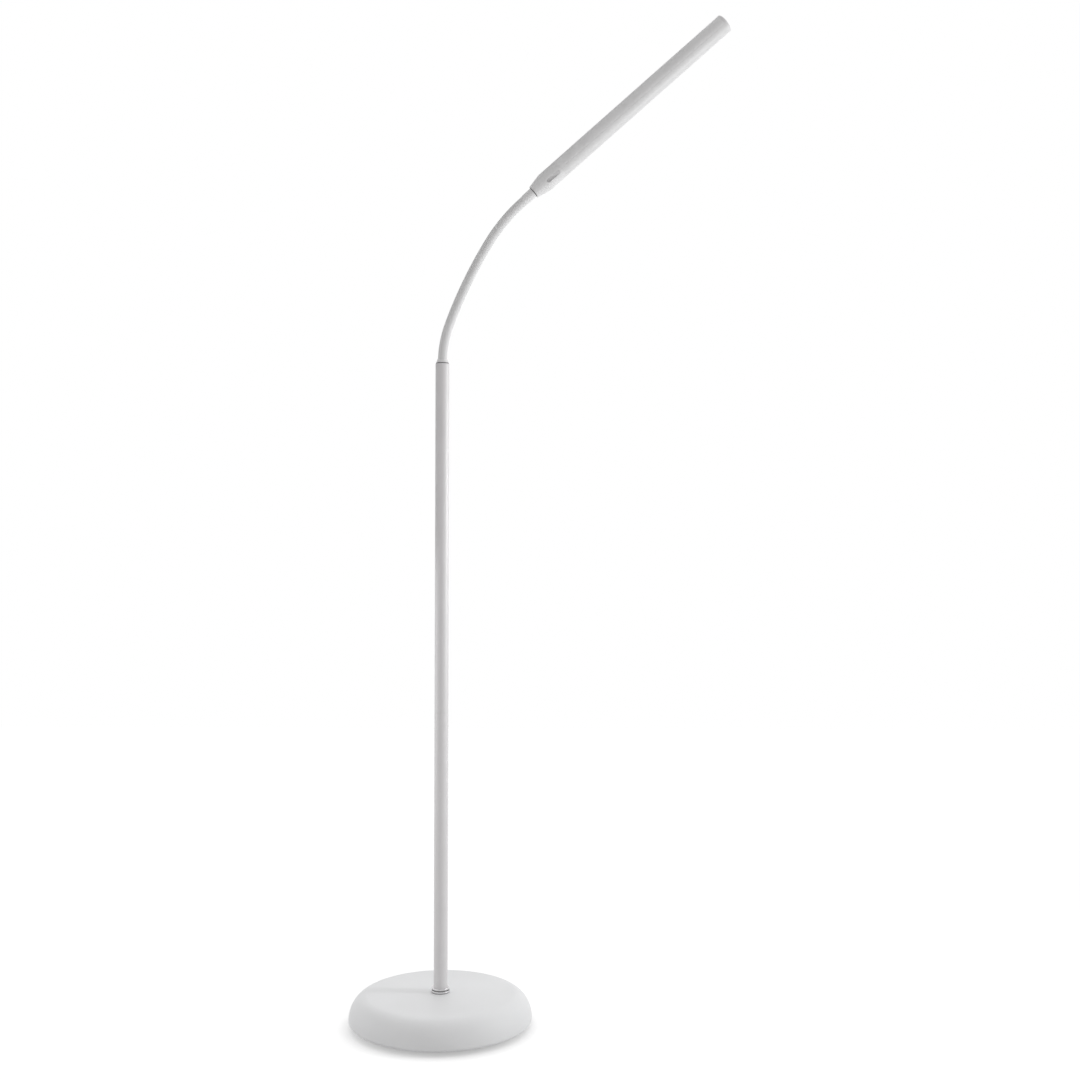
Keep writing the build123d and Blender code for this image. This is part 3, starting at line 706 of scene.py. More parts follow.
# Plans of the finishes. A plan names a tint of the settings and its patterns, with their features a metre.
# The shade is the pattern that the colour follows, to a share darker or to a second colour.
# The rough and bump entries name a pattern too: rough with its range, bump with a depth and a strength.
# Two numbers at the end of a shade or a bump are the pattern's values that it starts and ends at.
finish_plans = {
    # Satin moulded base cover with a fine even grain
    "moulded_white": {
        "tint": "cover", "darker": 0.035,
        "patterns": {"drift": ("noise", 9, 3), "grain": ("noise", 1900, 2)},
        "shade": ("drift",), "rough": ("drift", 0.44, 0.52), "bump": ("grain", 0.00002, 0.3),
        "sockets": {"Specular IOR Level": 0.35},
    },
    # Powder coat with a slight orange peel, on the pole
    "powder_white": {
        "tint": "paint", "darker": 0.03,
        "patterns": {"drift": ("noise", 22, 3), "peel": ("noise", 650, 1)},
        "shade": ("drift",), "rough": ("peel", 0.38, 0.46), "bump": ("peel", 0.00004, 0.3),
        "sockets": {"Specular IOR Level": 0.8},
    },
    # Satin coat on a drawn alloy shell, with faint lines along the head
    "coated_alloy": {
        "tint": "alloy", "darker": 0.035, "drawn_along_head": 0.012,
        "patterns": {"lines": ("noise", 900, 3), "drift": ("noise", 60, 2)},
        "shade": ("drift",), "rough": ("lines", 0.34, 0.46), "bump": ("lines", 0.00002, 0.3),
        "sockets": {"Specular IOR Level": 0.35},
    },
    # Soft smooth sleeve with a dull fine skin
    "soft_sleeve": {
        "tint": "sleeve", "darker": 0.05,
        "patterns": {"skin": ("noise", 2600, 2), "drift": ("noise", 45, 2)},
        "shade": ("drift",), "rough": ("skin", 0.5, 0.62), "bump": ("skin", 0.000015, 0.3),
        "sockets": {"Specular IOR Level": 0.3},
    },
    # Milky diffuser with faint clouds
    "opal_plastic": {
        "tint": "opal", "darker": 0.025,
        "patterns": {"cloud": ("noise", 70, 3), "skin": ("noise", 1500, 1)},
        "shade": ("cloud",), "rough": ("skin", 0.36, 0.44), "bump": ("skin", 0.00001, 0.2),
        "sockets": {"Specular IOR Level": 0.35},
    },
    # Satin moulded button with a fine grain
    "button_grey": {
        "tint": "button", "darker": 0.08, "patterns": {"grain": ("noise", 3200, 2)},
        "shade": ("grain",), "rough": ("grain", 0.42, 0.55), "bump": ("grain", 0.00005, 0.5),
    },
    # Polished ring with faint turning lines
    "bright_ring": {
        "tint": "ring", "darker": 0.12,
        "patterns": {"lines": ("bands", 900), "smear": ("noise", 160, 3)},
        "shade": ("smear",), "rough": ("smear", 0.12, 0.24), "bump": ("lines", 0.00001, 0.25),
        "sockets": {"Metallic": 0.9},
    },
    # Zinc plate with a cloudy surface
    "zinc_steel": {
        "tint": "steel", "darker": 0.25,
        "patterns": {"cloud": ("noise", 420, 4), "lines": ("bands", 1400)},
        "shade": ("cloud",), "rough": ("cloud", 0.26, 0.44), "bump": ("lines", 0.00001, 0.3),
        "sockets": {"Metallic": 1.0},
    },
    # Thin black coat on the bottom plate
    "plate_coat": {
        "tint": "plate", "darker": 0.3,
        "patterns": {"peel": ("noise", 900, 2), "drift": ("noise", 16, 3)},
        "shade": ("drift",), "rough": ("peel", 0.42, 0.58), "bump": ("peel", 0.00008, 0.5),
    },
    # Rough sand-cast skin of the weight
    "cast_iron": {
        "tint": "iron", "second": (0.09, 0.06, 0.045, 1),
        "patterns": {"sand": ("noise", 700, 6), "rust": ("noise", 35, 4)},
        "shade": ("rust", 0.5, 0.8), "rough": ("sand", 0.6, 0.85), "bump": ("sand", 0.0004, 0.7),
        "sockets": {"Metallic": 0.6},
    },
    # Soft closed-cell pad
    "pad_rubber": {
        "tint": "pad", "second": (0.05, 0.05, 0.048, 1),
        "patterns": {"bubbles": ("cells", 1100), "dust": ("noise", 40, 4)},
        "shade": ("dust", 0.45, 0.8), "rough": ("dust", 0.8, 0.92), "bump": ("bubbles", 0.0003, 0.6),
    },
    # Dull dark seal, whose dark colour paints the shade in the grooves of the foot ring, the neck cap and the
    # head's joint
    "joint_seal": {
        "tint": "shade_seal", "darker": 0.2, "patterns": {"skin": ("noise", 1500, 3)},
        "shade": ("skin",), "rough": ("skin", 0.6, 0.75), "bump": ("skin", 0.00003, 0.4),
        "sockets": {"Specular IOR Level": 0.25},
    },
    # Spark-eroded black moulding
    "black_moulding": {
        "tint": "plastic", "second": (0.03, 0.03, 0.031, 1), "patterns": {"grain": ("noise", 2400, 3)},
        "shade": ("grain",), "rough": ("grain", 0.38, 0.55), "bump": ("grain", 0.00006, 0.5),
    },
    # Soft jacket of the leads
    "lead_jacket": {
        "tint": "jacket", "darker": 0.08,
        "patterns": {"skin": ("noise", 1800, 2), "drift": ("noise", 60, 2)},
        "shade": ("drift",), "rough": ("skin", 0.5, 0.62), "bump": ("skin", 0.00005, 0.4),
    },
    # White lacquer with slightly raised copper tracks below it
    "board_white": {
        "tint": "board", "darker": 0.07,
        "patterns": {"tracks": ("cells", 160), "drift": ("noise", 120, 2)},
        "shade": ("drift",), "rough": ("drift", 0.3, 0.42), "bump": ("tracks", 0.00004, 0.5, 0.3, 0.36),
    },
    # Green lacquer over copper tracks
    "board_green": {
        "tint": "circuit", "second": (0.02, 0.2, 0.08, 1), "patterns": {"tracks": ("cells", 420)},
        "shade": ("tracks", 0.28, 0.34), "rough": ("tracks", 0.28, 0.4),
        "bump": ("tracks", 0.00004, 0.6, 0.28, 0.34),
    },
    # Yellow face of the chips with a cloudy fill
    "phosphor_chip": {
        "tint": "phosphor", "darker": 0.25, "patterns": {"cloud": ("noise", 2500, 3)},
        "shade": ("cloud",), "rough": ("cloud", 0.22, 0.36), "bump": ("cloud", 0.00003, 0.4),
    },
    # Turned brass with fine tool lines
    "turned_brass": {
        "tint": "brass", "darker": 0.3,
        "patterns": {"lines": ("bands", 1600), "tarnish": ("noise", 260, 4)},
        "shade": ("tarnish",), "rough": ("tarnish", 0.2, 0.38), "bump": ("lines", 0.00001, 0.4),
        "sockets": {"Metallic": 1.0},
    },
}
# The fittings of the neck and the head are moulded as the base cover is, in their own tint
finish_plans["moulded_fitting"] = {**finish_plans["moulded_white"], "tint": "fitting"}
finishes_made = {}


def make_finish(name):
    """Material on the piece's own coordinates, made from the plan of that name."""
    plan = finish_plans[name]
    material = bpy.data.materials.new(name)
    tree = clean_tree(material)
    place = node(tree, "ShaderNodeTexCoord").outputs["Object"]
    if "drawn_along_head" in plan:
        heading = neck_place(settings().neck.length)[1]
        sockets = {"Vector": place, "Rotation": (0, -heading, 0), "Scale": (1, 1, plan["drawn_along_head"])}
        place = node(tree, "ShaderNodeMapping", sockets).outputs["Vector"]
    patterns = {label: pattern(tree, place, *numbers) for label, numbers in plan["patterns"].items()}
    tone = getattr(settings().finishes, plan["tint"])
    second = plan["second"] if "second" in plan else darker(tone, plan["darker"])
    label, *window = plan["shade"]
    share = spread(tree, patterns[label], 0, 1, *window)
    # A colour mix shares its sockets' names with other kinds of mix, so they go by their numbers
    colour = node(tree, "ShaderNodeMix", {0: share, 6: tone, 7: second}, data_type="RGBA").outputs[2]
    label, low, high = plan["rough"]
    roughness = spread(tree, patterns[label], low, high)
    label, depth, force, *window = plan["bump"]
    height = spread(tree, patterns[label], 0, 1, *window) if window else patterns[label]
    relief = node(tree, "ShaderNodeBump", {"Height": height, "Distance": depth, "Strength": force})
    sockets = {"Base Color": colour, "Roughness": roughness, "Normal": relief.outputs["Normal"]}
    shader = node(tree, "ShaderNodeBsdfPrincipled", {**sockets, **plan.get("sockets", {})})
    node(tree, "ShaderNodeOutputMaterial", {"Surface": shader.outputs["BSDF"]})
    return material


def finish(name):
    """The finish of that name, made when it is first asked for."""
    if name not in finishes_made:
        finishes_made[name] = make_finish(name)
    return finishes_made[name]


# Geometry node trees


def new_tree(name, inputs):
    """Tree with named inputs besides its geometry. Returns the tree and what it is given."""
    tree = bpy.data.node_groups.new(name, "GeometryNodeTree")
    for label, kind in [("Geometry", "Geometry"), *inputs]:
        tree.interface.new_socket(label, in_out="INPUT", socket_type=f"NodeSocket{kind}")
    tree.interface.new_socket("Geometry", in_out="OUTPUT", socket_type="NodeSocketGeometry")
    return tree, node(tree, "NodeGroupInput").outputs


def end_tree(tree, geometry, coat):
    """Realizes the instances and sets the material, as the last two steps of a tree."""
    real = node(tree, "GeometryNodeRealizeInstances", {"Geometry": geometry}).outputs["Geometry"]
    coated = node(tree, "GeometryNodeSetMaterial", {"Geometry": real, "Material": coat}).outputs["Geometry"]
    node(tree, "NodeGroupOutput", {0: coated})


def grown(tree, start, values):
    """Mesh that a tree makes from a start mesh with the given inputs."""
    holder = bpy.data.objects.new("holder", start)
    parts_collection.objects.link(holder)
    modifier = holder.modifiers.new("grow", "NODES")
    modifier.node_group = tree
    for item in tree.interface.items_tree:
        if item.in_out == "INPUT" and item.name in values:
            modifier[item.identifier] = values[item.name]
    mesh = settled_mesh(holder)
    bpy.data.objects.remove(holder)
    return mesh


def math_node(tree, operation, one, two=0.0):
    """Sum, product and the like of two sockets or numbers."""
    return node(tree, "ShaderNodeMath", {0: one, 1: two}, operation=operation).outputs[0]


def vector_node(tree, operation, one, two):
    """Vector sum, cross product and the like of two sockets or vectors."""
    return node(tree, "ShaderNodeVectorMath", {0: one, 1: two}, operation=operation).outputs[0]


def bent_tube_tree():
    """Closed tube that follows part of a line in the XZ plane, with spiral grooves if it is wound."""
    numbers = ("Outer Radius", "Inner Radius", "From", "To", "Winding Depth", "Winding Pitch")
    inputs = [(label, "Float") for label in numbers]
    inputs += [("Steps", "Int"), ("Sides", "Int"), ("Finish", "Material")]
    tree, asked = new_tree("bent tube", inputs)
    weld = 1e-6

    def calc(operation, one, two=0.0):
        """Sum, product and the like in this tree."""
        return math_node(tree, operation, one, two)

    span = calc("SUBTRACT", asked["To"], asked["From"])
    wall = calc("SUBTRACT", asked["Outer Radius"], asked["Inner Radius"])
    middle = calc("MULTIPLY", calc("ADD", asked["To"], asked["From"]), 0.5)
    ring = calc("MULTIPLY", calc("ADD", asked["Outer Radius"], asked["Inner Radius"]), 0.5)
    # The tube is first swept straight round the Z axis, with its wall's section cut into steps along it
    sockets = {"Width": wall, "Height": span}
    section = node(tree, "GeometryNodeCurvePrimitiveQuadrilateral", sockets, mode="RECTANGLE")
    sockets = {"Curve": section.outputs["Curve"], "Cuts": asked["Steps"]}
    cuts = node(tree, "GeometryNodeSubdivideCurve", sockets)
    sockets = {"Resolution": asked["Sides"], "Radius": ring}
    circle = node(tree, "GeometryNodeCurvePrimitiveCircle", sockets, mode="RADIUS")
    sockets = {"Curve": circle.outputs["Curve"], "Profile Curve": cuts.outputs["Curve"]}
    sweep = node(tree, "GeometryNodeCurveToMesh", sockets).outputs["Mesh"]
    # Each point's height then becomes a way along the line
    here = node(tree, "GeometryNodeInputPosition").outputs["Position"]
    spot = node(tree, "ShaderNodeSeparateXYZ", {"Vector": here}).outputs
    along = calc("ADD", spot["Z"], middle)
    line = node(tree, "GeometryNodeMeshToCurve", {"Mesh": asked["Geometry"]}).outputs["Curve"]
    sockets = {"Curves": line, "Length": along}
    sample = node(tree, "GeometryNodeSampleCurve", sockets, mode="LENGTH").outputs
    # Spiral grooves: the outer wall goes in and out with the turn round the axis and the way along it
    turn = calc("ARCTAN2", spot["Y"], spot["X"])
    advance = calc("DIVIDE", calc("MULTIPLY", along, 2 * math.pi), asked["Winding Pitch"])
    wave = calc("COSINE", calc("SUBTRACT", advance, turn))
    dip = calc("MULTIPLY", calc("SUBTRACT", wave, 1.0), 0.5)
    flat = node(tree, "ShaderNodeCombineXYZ", {"X": spot["X"], "Y": spot["Y"]}).outputs["Vector"]
    reach = node(tree, "ShaderNodeVectorMath", {0: flat}, operation="LENGTH").outputs["Value"]
    outside = calc("GREATER_THAN", reach, ring)
    depth = calc("MULTIPLY", calc("MULTIPLY", dip, outside), asked["Winding Depth"])
    share = calc("ADD", calc("DIVIDE", depth, asked["Outer Radius"]), 1.0)
    across = vector_node(tree, "CROSS_PRODUCT", (0.0, 1.0, 0.0), sample["Tangent"])
    sockets = {0: across, "Scale": calc("MULTIPLY", spot["X"], share)}
    sideways = node(tree, "ShaderNodeVectorMath", sockets, operation="SCALE").outputs[0]
    upright = node(tree, "ShaderNodeCombineXYZ", {"Y": calc("MULTIPLY", spot["Y"], share)}).outputs["Vector"]
    offset = vector_node(tree, "ADD", sideways, upright)
    sockets = {"Geometry": sweep, "Position": vector_node(tree, "ADD", sample["Position"], offset)}
    put = node(tree, "GeometryNodeSetPosition", sockets).outputs["Geometry"]
    merge = node(tree, "GeometryNodeMergeByDistance", {"Geometry": put, "Distance": weld})
    end_tree(tree, merge.outputs["Geometry"], asked["Finish"])
    return tree


def repeat_tree(name, layout, sockets, **values):
    """Tree that sets one object at each point of a layout, turned at random about its own axis."""
    inputs = [("Object", "Object"), ("Random Turn", "Float"), ("Finish", "Material")]
    inputs += [(label, kind) for label, kind, target in sockets]
    tree, asked = new_tree(name, inputs)
    points = node(tree, layout, {target: asked[label] for label, kind, target in sockets}, **values)
    thing = node(tree, "GeometryNodeObjectInfo", {"Object": asked["Object"]})
    # The most that a thing turns is the fourth socket: those before it are for vectors and for the least turn
    chance = {"Seed": 7, 3: asked["Random Turn"]}
    turn = node(tree, "FunctionNodeRandomValue", chance, data_type="FLOAT").outputs[1]
    set_out = {
        "Points": points.outputs["Mesh"],
        "Instance": thing.outputs["Geometry"],
        "Rotation": node(tree, "ShaderNodeCombineXYZ", {"Z": turn}).outputs["Vector"],
    }
    things = node(tree, "GeometryNodeInstanceOnPoints", set_out).outputs["Instances"]
    end_tree(tree, things, asked["Finish"])
    return tree


def ring_tree():
    """Like things on a circle round the Z axis."""
    sockets = [("Count", "Int", "Vertices"), ("Radius", "Float", "Radius")]
    return repeat_tree("things on a circle", "GeometryNodeMeshCircle", sockets)


def grid_tree():
    """Like things in rows and columns."""
    sockets = [("Columns", "Int", "Vertices X"), ("Rows", "Int", "Vertices Y")]
    sockets += [("Width", "Float", "Size X"), ("Height", "Float", "Size Y")]
    return repeat_tree("things in rows", "GeometryNodeMeshGrid", sockets)


def line_tree():
    """Like things in a line."""
    sockets = [("Count", "Int", "Count"), ("Step", "Vector", "Offset")]
    return repeat_tree("things in a line", "GeometryNodeMeshLine", sockets, mode="OFFSET")


def repeated(tree, thing, coat, turn, **layout):
    """Mesh of a helper object that a tree sets out. The helper is removed."""
    start = bpy.data.meshes.new("start")
    values = {"Object": thing, "Random Turn": turn, "Finish": finish(coat), **layout}
    mesh = grown(tree, start, values)
    bpy.data.meshes.remove(start)
    drop(thing)
    return mesh


# Base


def cover_surface(base):
    """The cover's outer outline, from its lip over the equator to the seat round the pole."""
    crown_steps = 24
    crown_start = 0.96
    shoulder = base.top - base.crown_drop
    under_size = (base.radius - base.lip_radius, base.equator - base.lip_height)
    side_size = (base.radius - base.flat_radius, shoulder - base.equator)
    under = ellipse((base.lip_radius, base.equator), under_size, -90, 0, 20)
    side = ellipse((base.flat_radius, base.equator), side_size, 0, 86, 40)
    width = base.flat_radius - base.seat_radius
    curve = (width**2 + base.crown_drop**2) / (2 * base.crown_drop)
    crown = []
    for i in range(crown_steps + 1):
        out = width * (crown_start - crown_start * i / crown_steps)
        crown.append((base.seat_radius + out, base.top - curve + math.sqrt(curve**2 - out**2)))
    return under + side[1:] + crown


def base_cover():
    """Pebble-shaped cover with its hub, its posts and the pocket for the inlet."""
    base = settings().base
    inlet = settings().inlet
    pilot_depth = 0.01
    surface = cover_surface(base)
    ceiling = base.top - base.crown_drop - base.wall
    hub_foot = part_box("base_weight")[1].z
    post_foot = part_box("base_plate")[1].z
    side_size = (base.radius - base.wall - base.flat_radius, ceiling - base.equator)
    under_size = (base.radius - base.wall - base.lip_radius, base.equator - base.lip_height - base.wall)
    inside = [
        (base.hub_bore, base.top),
        (base.hub_bore, hub_foot),
        (base.hub_radius, hub_foot),
        (base.hub_radius, ceiling),
    ]
    inside += ellipse((base.flat_radius, base.equator), side_size, 90, 0, 24)
    inside += ellipse((base.lip_radius, base.equator), under_size, 0, -90, 12)[1:]
    cover = piece("base_cover_shell", turned(surface + inside, segments=256), finish("moulded_white"))
    # Boss behind the pocket, kept inside the cover's own surface
    envelope = piece("envelope", turned(surface + [(0, base.top), (0, base.lip_height)], segments=256))
    panel_back = inlet.pocket_floor - inlet.panel
    boss = rod(inlet.pocket_radius + base.wall, panel_back, base.radius, segments=96)
    carve(envelope, moved(boss, rearward(inlet.height)), "INTERSECT")
    posts = [bmesh.new()]
    posts[0].from_mesh(envelope.data)
    drop(envelope)
    pilots = []
    for i in range(base.screw_count):
        spot = Matrix.Rotation(math.radians(first_screw + 360 * i / base.screw_count), 4, "Z")
        spot = spot @ Matrix.Translation((base.screw_circle, 0, 0))
        posts.append(moved(rod(base.boss_radius, post_foot, ceiling + base.wall / 2), spot))
        pilot = rod(base.pilot_radius, post_foot - base.wall, post_foot + pilot_depth)
        pilots.append(moved(pilot, spot))
    carve(cover, joined(*posts), "UNION")
    pocket = [
        (0, panel_back - base.wall),
        (inlet.barrel_radius + slip, panel_back - base.wall),
        (inlet.barrel_radius + slip, inlet.pocket_floor),
        (inlet.pocket_radius, inlet.pocket_floor),
        (inlet.pocket_radius, base.radius + base.wall),
        (0, base.radius + base.wall),
    ]
    carve(cover, joined(moved(turned(pocket, segments=96), rearward(inlet.height)), *pilots))
    smooth(cover.data)
    fit(cover, "stand", "white_cover", "base_cover")


def pan_screw(base, low, high, tip):
    """Pan-head screw that points up, with a cross recess in its head."""
    head = base.screw_head
    shank = base.pilot_radius - slip
    crown = 0.0009
    edge = 0.00015
    point = 0.0002
    recess_share = 1.1
    recess_width = 0.0007
    recess_height = 0.0016
    recess = Matrix.Diagonal((head * recess_share, recess_width, recess_height, 1))
    outline = rounded([
        (0, low, 0), (head, low, crown), (head, high, edge), (shank, high, 0), (shank, tip - shank, 0),
        (point, tip, 0), (0, tip, 0),
    ])
    screw = piece("screw", turned(outline, segments=40))
    for turn in (0, 90):
        arm = bmesh.new()
        bmesh.ops.create_cube(arm, size=1, matrix=Matrix.Rotation(math.radians(turn), 4, "Z") @ recess)
        carve(screw, moved(arm, Matrix.Translation((0, 0, low))))
    smooth(screw.data)
    return screw


def base_underside():
    """Soft pad and the plate's screws."""
    base = settings().base
    pad_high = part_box("base_pad")[1]
    radius = pad_high.x
    soft = base.pad_rounding
    outline = rounded([(0, 0, 0), (radius, 0, soft), (radius, pad_high.z, soft / 2), (0, pad_high.z, 0)])
    pad = piece("base_pad_disc", turned(outline, segments=160), finish("pad_rubber"))
    fit(pad, "stand", "pad_foam", "base_pad")
    low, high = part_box("base_screws")
    screw = pan_screw(base, low.z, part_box("base_plate")[0].z, high.z)
    layout = {"Count": base.screw_count, "Radius": base.screw_circle}
    mesh = repeated(ring_tree(), screw, "zinc_steel", screw_turn, **layout)
    mesh.transform(Matrix.Rotation(math.radians(first_screw), 4, "Z"))
    screws = mesh_piece("base_plate_screws", mesh)
    fit(screws, "stand", "steel", "base_screws")


def power_inlet():
    """Socket with a threaded barrel, its pin and its nut, in the pocket at the back."""
    inlet = settings().inlet
    edge = 0.0003
    mouth_edge = 0.0002
    thread_depth = 0.0002
    # Places along one pitch of the thread, with the share of the depth that each lies below the crest
    thread = ((0.35, 0), (0.5, 1), (0.7, 1), (0.9, 0))
    pin_setback = 0.0015
    pin_rounding = 0.0005
    barrel = inlet.barrel_radius
    front = inlet.barrel_front
    panel_back = inlet.pocket_floor - inlet.panel
    bottom = front - inlet.hole_depth
    outline = [(0, inlet.body_back), (inlet.body_radius - edge, inlet.body_back)]
    outline += [(inlet.body_radius, inlet.body_back + edge), (inlet.body_radius, panel_back)]
    outline.append((barrel, panel_back))
    level = panel_back
    while level + inlet.thread_pitch < front - edge:
        for along, deep in thread:
            outline.append((barrel - thread_depth * deep, level + inlet.thread_pitch * along))
        level = level + inlet.thread_pitch
    outline += [(barrel, front - edge), (barrel - edge, front)]
    outline += [(inlet.hole_radius + mouth_edge, front), (inlet.hole_radius, front - edge)]
    outline += [(inlet.hole_radius, bottom), (0, bottom)]
    lay = rearward(inlet.height)
    socket = piece("inlet_socket", moved(turned(outline, segments=64), lay), finish("black_moulding"))
    fit(socket, "stand", "black_plastic", "dc_socket")
    pin_top = front - pin_setback
    outline = rounded([
        (0, bottom, 0), (inlet.pin_radius, bottom, 0),
        (inlet.pin_radius, pin_top, pin_rounding), (0, pin_top, 0),
    ])
    pin = piece("inlet_pin", moved(turned(outline, segments=32), lay), finish("turned_brass"))
    fit(pin, "stand", "brass", "dc_socket")
    nut_top = inlet.pocket_floor + inlet.nut_thickness
    shape = hexagon(inlet.nut_flats, inlet.pocket_floor, nut_top, barrel + slip, edge)
    nut = piece("inlet_nut", moved(shape, lay), finish("zinc_steel"))
    fit(nut, "stand", "steel", "dc_socket_nut")


# Pole


def foot_ring():
    """Bright ring with a groove at the pole's foot, and its two dark seals, which paint the shade in the
    groove and below the ring.
    """
    pole = settings().pole
    low = settings().base.top + pole.gasket
    groove_low = low + pole.ring_height - pole.gasket
    groove_high = groove_low + pole.groove_height
    top = groove_high + pole.flange_height
    bore = pole.radius + slip
    edge = pole.ring_edge
    outline = rounded([
        (bore, low, 0), (pole.ring_radius, low, edge / 2), (pole.ring_radius, groove_low, edge),
        (pole.groove_radius, groove_low, 0), (pole.groove_radius, groove_high, 0),
        (pole.flange_radius, groove_high, edge / 2), (pole.flange_radius, top, edge), (bore, top, edge / 4),
    ])
    ring = piece("pole_foot_ring", turned(outline, segments=128), finish("bright_ring"))
    fit(ring, "stand", "bright_ring", "base_collar")
    # The dark seal in the groove and the dark gasket below the ring are painted shade in the groove and under
    # the ring
    in_groove = band(pole.groove_radius, pole.groove_radius + edge, groove_low, groove_high)
    gasket = band(bore, pole.ring_radius - edge, low - pole.gasket, low)
    seals = joined(turned(in_groove, segments=128), turned(gasket, segments=128))
    shade_seal = piece("pole_foot_seals", seals, finish("joint_seal"))
    fit(shade_seal, "stand", "bright_ring", "base_collar")


def pole_tubes():
    """The two tubes of the pole, whose rounded ends make the hairline seam."""
    pole = settings().pole
    bore = pole.radius - pole.wall
    soft = pole.seam_chamfer
    for name, cad_node, start, end, low_soft in (
        ("pole_lower_tube", "pole_lower", settings().base.top, pole.seam, 0),
        ("pole_upper_tube", "pole_upper", pole.seam, pole.top - pole.tube_drop, soft),
    ):
        outline = rounded([
            (bore, start, 0), (pole.radius, start, low_soft), (pole.radius, end, soft), (bore, end, 0),
        ])
        tube = piece(name, turned(outline, segments=96), finish("powder_white"))
        fit(tube, "stand", "white_paint", cad_node)


def neck_cap():
    """Plug in the pole's top with the tapered cap that the neck comes out of, and a dark seal that paints the
    shade in the groove below the cap.
    """
    pole = settings().pole
    neck = settings().neck
    loose = 0.0003
    plug_edge = 0.0004
    foot_edge = 0.0003
    mouth_edge = 0.0004
    bore_edge = 0.0002
    seal_reach = 0.0001
    plug = pole.radius - pole.wall - slip
    cap_bore = neck.radius + loose
    lead_hole = neck.lead_radius + loose
    ferrule_low, ferrule_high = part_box("neck_lower_ferrule")
    ferrule_hole = ferrule_high.x + slip
    ferrule_bottom = ferrule_low.z
    cap_low = pole.top - pole.tube_drop
    cap_top = cap_low + pole.cap_height
    groove_top = cap_low + pole.cap_shadow
    outline = rounded([
        (lead_hole, pole.socket_bottom, 0), (plug, pole.socket_bottom, plug_edge), (plug, cap_low, 0),
        (pole.cap_groove, cap_low, 0), (pole.cap_groove, groove_top, 0),
        (pole.cap_foot, groove_top, foot_edge), (pole.cap_mouth, cap_top, mouth_edge),
        (cap_bore, cap_top, bore_edge),
        (cap_bore, pole.top, 0), (ferrule_hole, pole.top, 0), (ferrule_hole, ferrule_bottom, 0),
        (lead_hole, ferrule_bottom, 0),
    ])
    cap = piece("neck_socket_cap", turned(outline, segments=96), finish("moulded_fitting"))
    fit(cap, "stand", "white_paint", "neck_socket")
    # Dark seal in the groove below the cap, painted shade under the cap
    outline = band(pole.cap_groove, pole.cap_foot + seal_reach, cap_low, groove_top)
    shade_seal = piece("neck_cap_seal", turned(outline, segments=96), finish("joint_seal"))
    fit(shade_seal, "stand", "white_paint", "neck_socket")


# Neck


def neck_line(start, end):
    """Mesh line along the neck's middle, from below the pole's top to beyond the neck's end."""
    step = 0.0005
    steps = round((end - start) / step)
    points = [neck_place(start + (end - start) * i / steps)[0] for i in range(steps + 1)]
    line = bpy.data.meshes.new("neck_line")
    line.from_pydata(points, [(i, i + 1) for i in range(steps)], [])
    return line


def gooseneck():
    """Sleeve, wound core and lead in lengths that span one joint each."""
    neck = settings().neck
    spare = 0.002
    pitch = neck.length / neck.joints
    below = settings().pole.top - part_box("neck_core_00")[0].z
    above = neck.length + neck.ferrule_length + neck.ferrule_groove + neck.spigot_length
    beyond = above - neck.length
    start = -below - spare
    line = neck_line(start, above + spare)
    tree = bent_tube_tree()
    sleeve_bore = neck.radius - neck.wall
    core_radius = sleeve_bore - neck.core_gap
    core_bore = neck.core_bore
    grooves = neck.winding_depth
    # Name, finish, slot, radius, bore, extra below, extra above, winding, steps along and sides
    layers = (
        ("sleeve", "soft_sleeve", "white_sleeve", neck.radius, sleeve_bore, 0.0, 0.0, 0.0, 20, 64),
        ("core", "zinc_steel", "steel", core_radius, core_bore, below, beyond, grooves, 56, 32),
        ("lead", "lead_jacket", "lead_jacket", neck.lead_radius, 0.0, 0.0, 0.0, 0.0, 12, 32),
    )
    bodies = ["stand"] + [f"neck_link_{i:02d}" for i in range(1, neck.joints)] + ["head"]
    for joint in range(1, neck.joints + 1):
        low = pitch * (joint - 1)
        high = pitch * joint
        hold = neck.cap_hold if joint == 1 else 0.0
        for layer, coat, slot, outer, inner, extra_low, extra_high, depth, steps, sides in layers:
            first = low - (extra_low if joint == 1 else 0.0)
            last = high + (extra_high if joint == neck.joints else 0.0)
            mesh = grown(tree, line, {
                "Outer Radius": outer, "Inner Radius": inner, "From": first - start, "To": last - start,
                "Winding Depth": depth, "Winding Pitch": neck.winding_pitch,
                "Steps": steps, "Sides": sides, "Finish": finish(coat),
            })
            length_piece = mesh_piece(f"neck_{layer}_length_{joint:02d}", mesh)
            ends = [(bodies[joint - 1], neck_place(low + hold)[0]), (bodies[joint], neck_place(high)[0])]
            # The ends of the upper lengths are listed from the head down, but nothing reads the list of ends
            if joint > neck.told_from_pole:
                ends.reverse()
            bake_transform(length_piece)
            if layer == "lead":
                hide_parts("supply_lead")
            elif joint == neck.joints:
                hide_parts(f"neck_{layer}_{joint - 1:02d}", f"neck_{layer}_{joint:02d}")
            else:
                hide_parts(f"neck_{layer}_{joint - 1:02d}")
    bpy.data.meshes.remove(line)


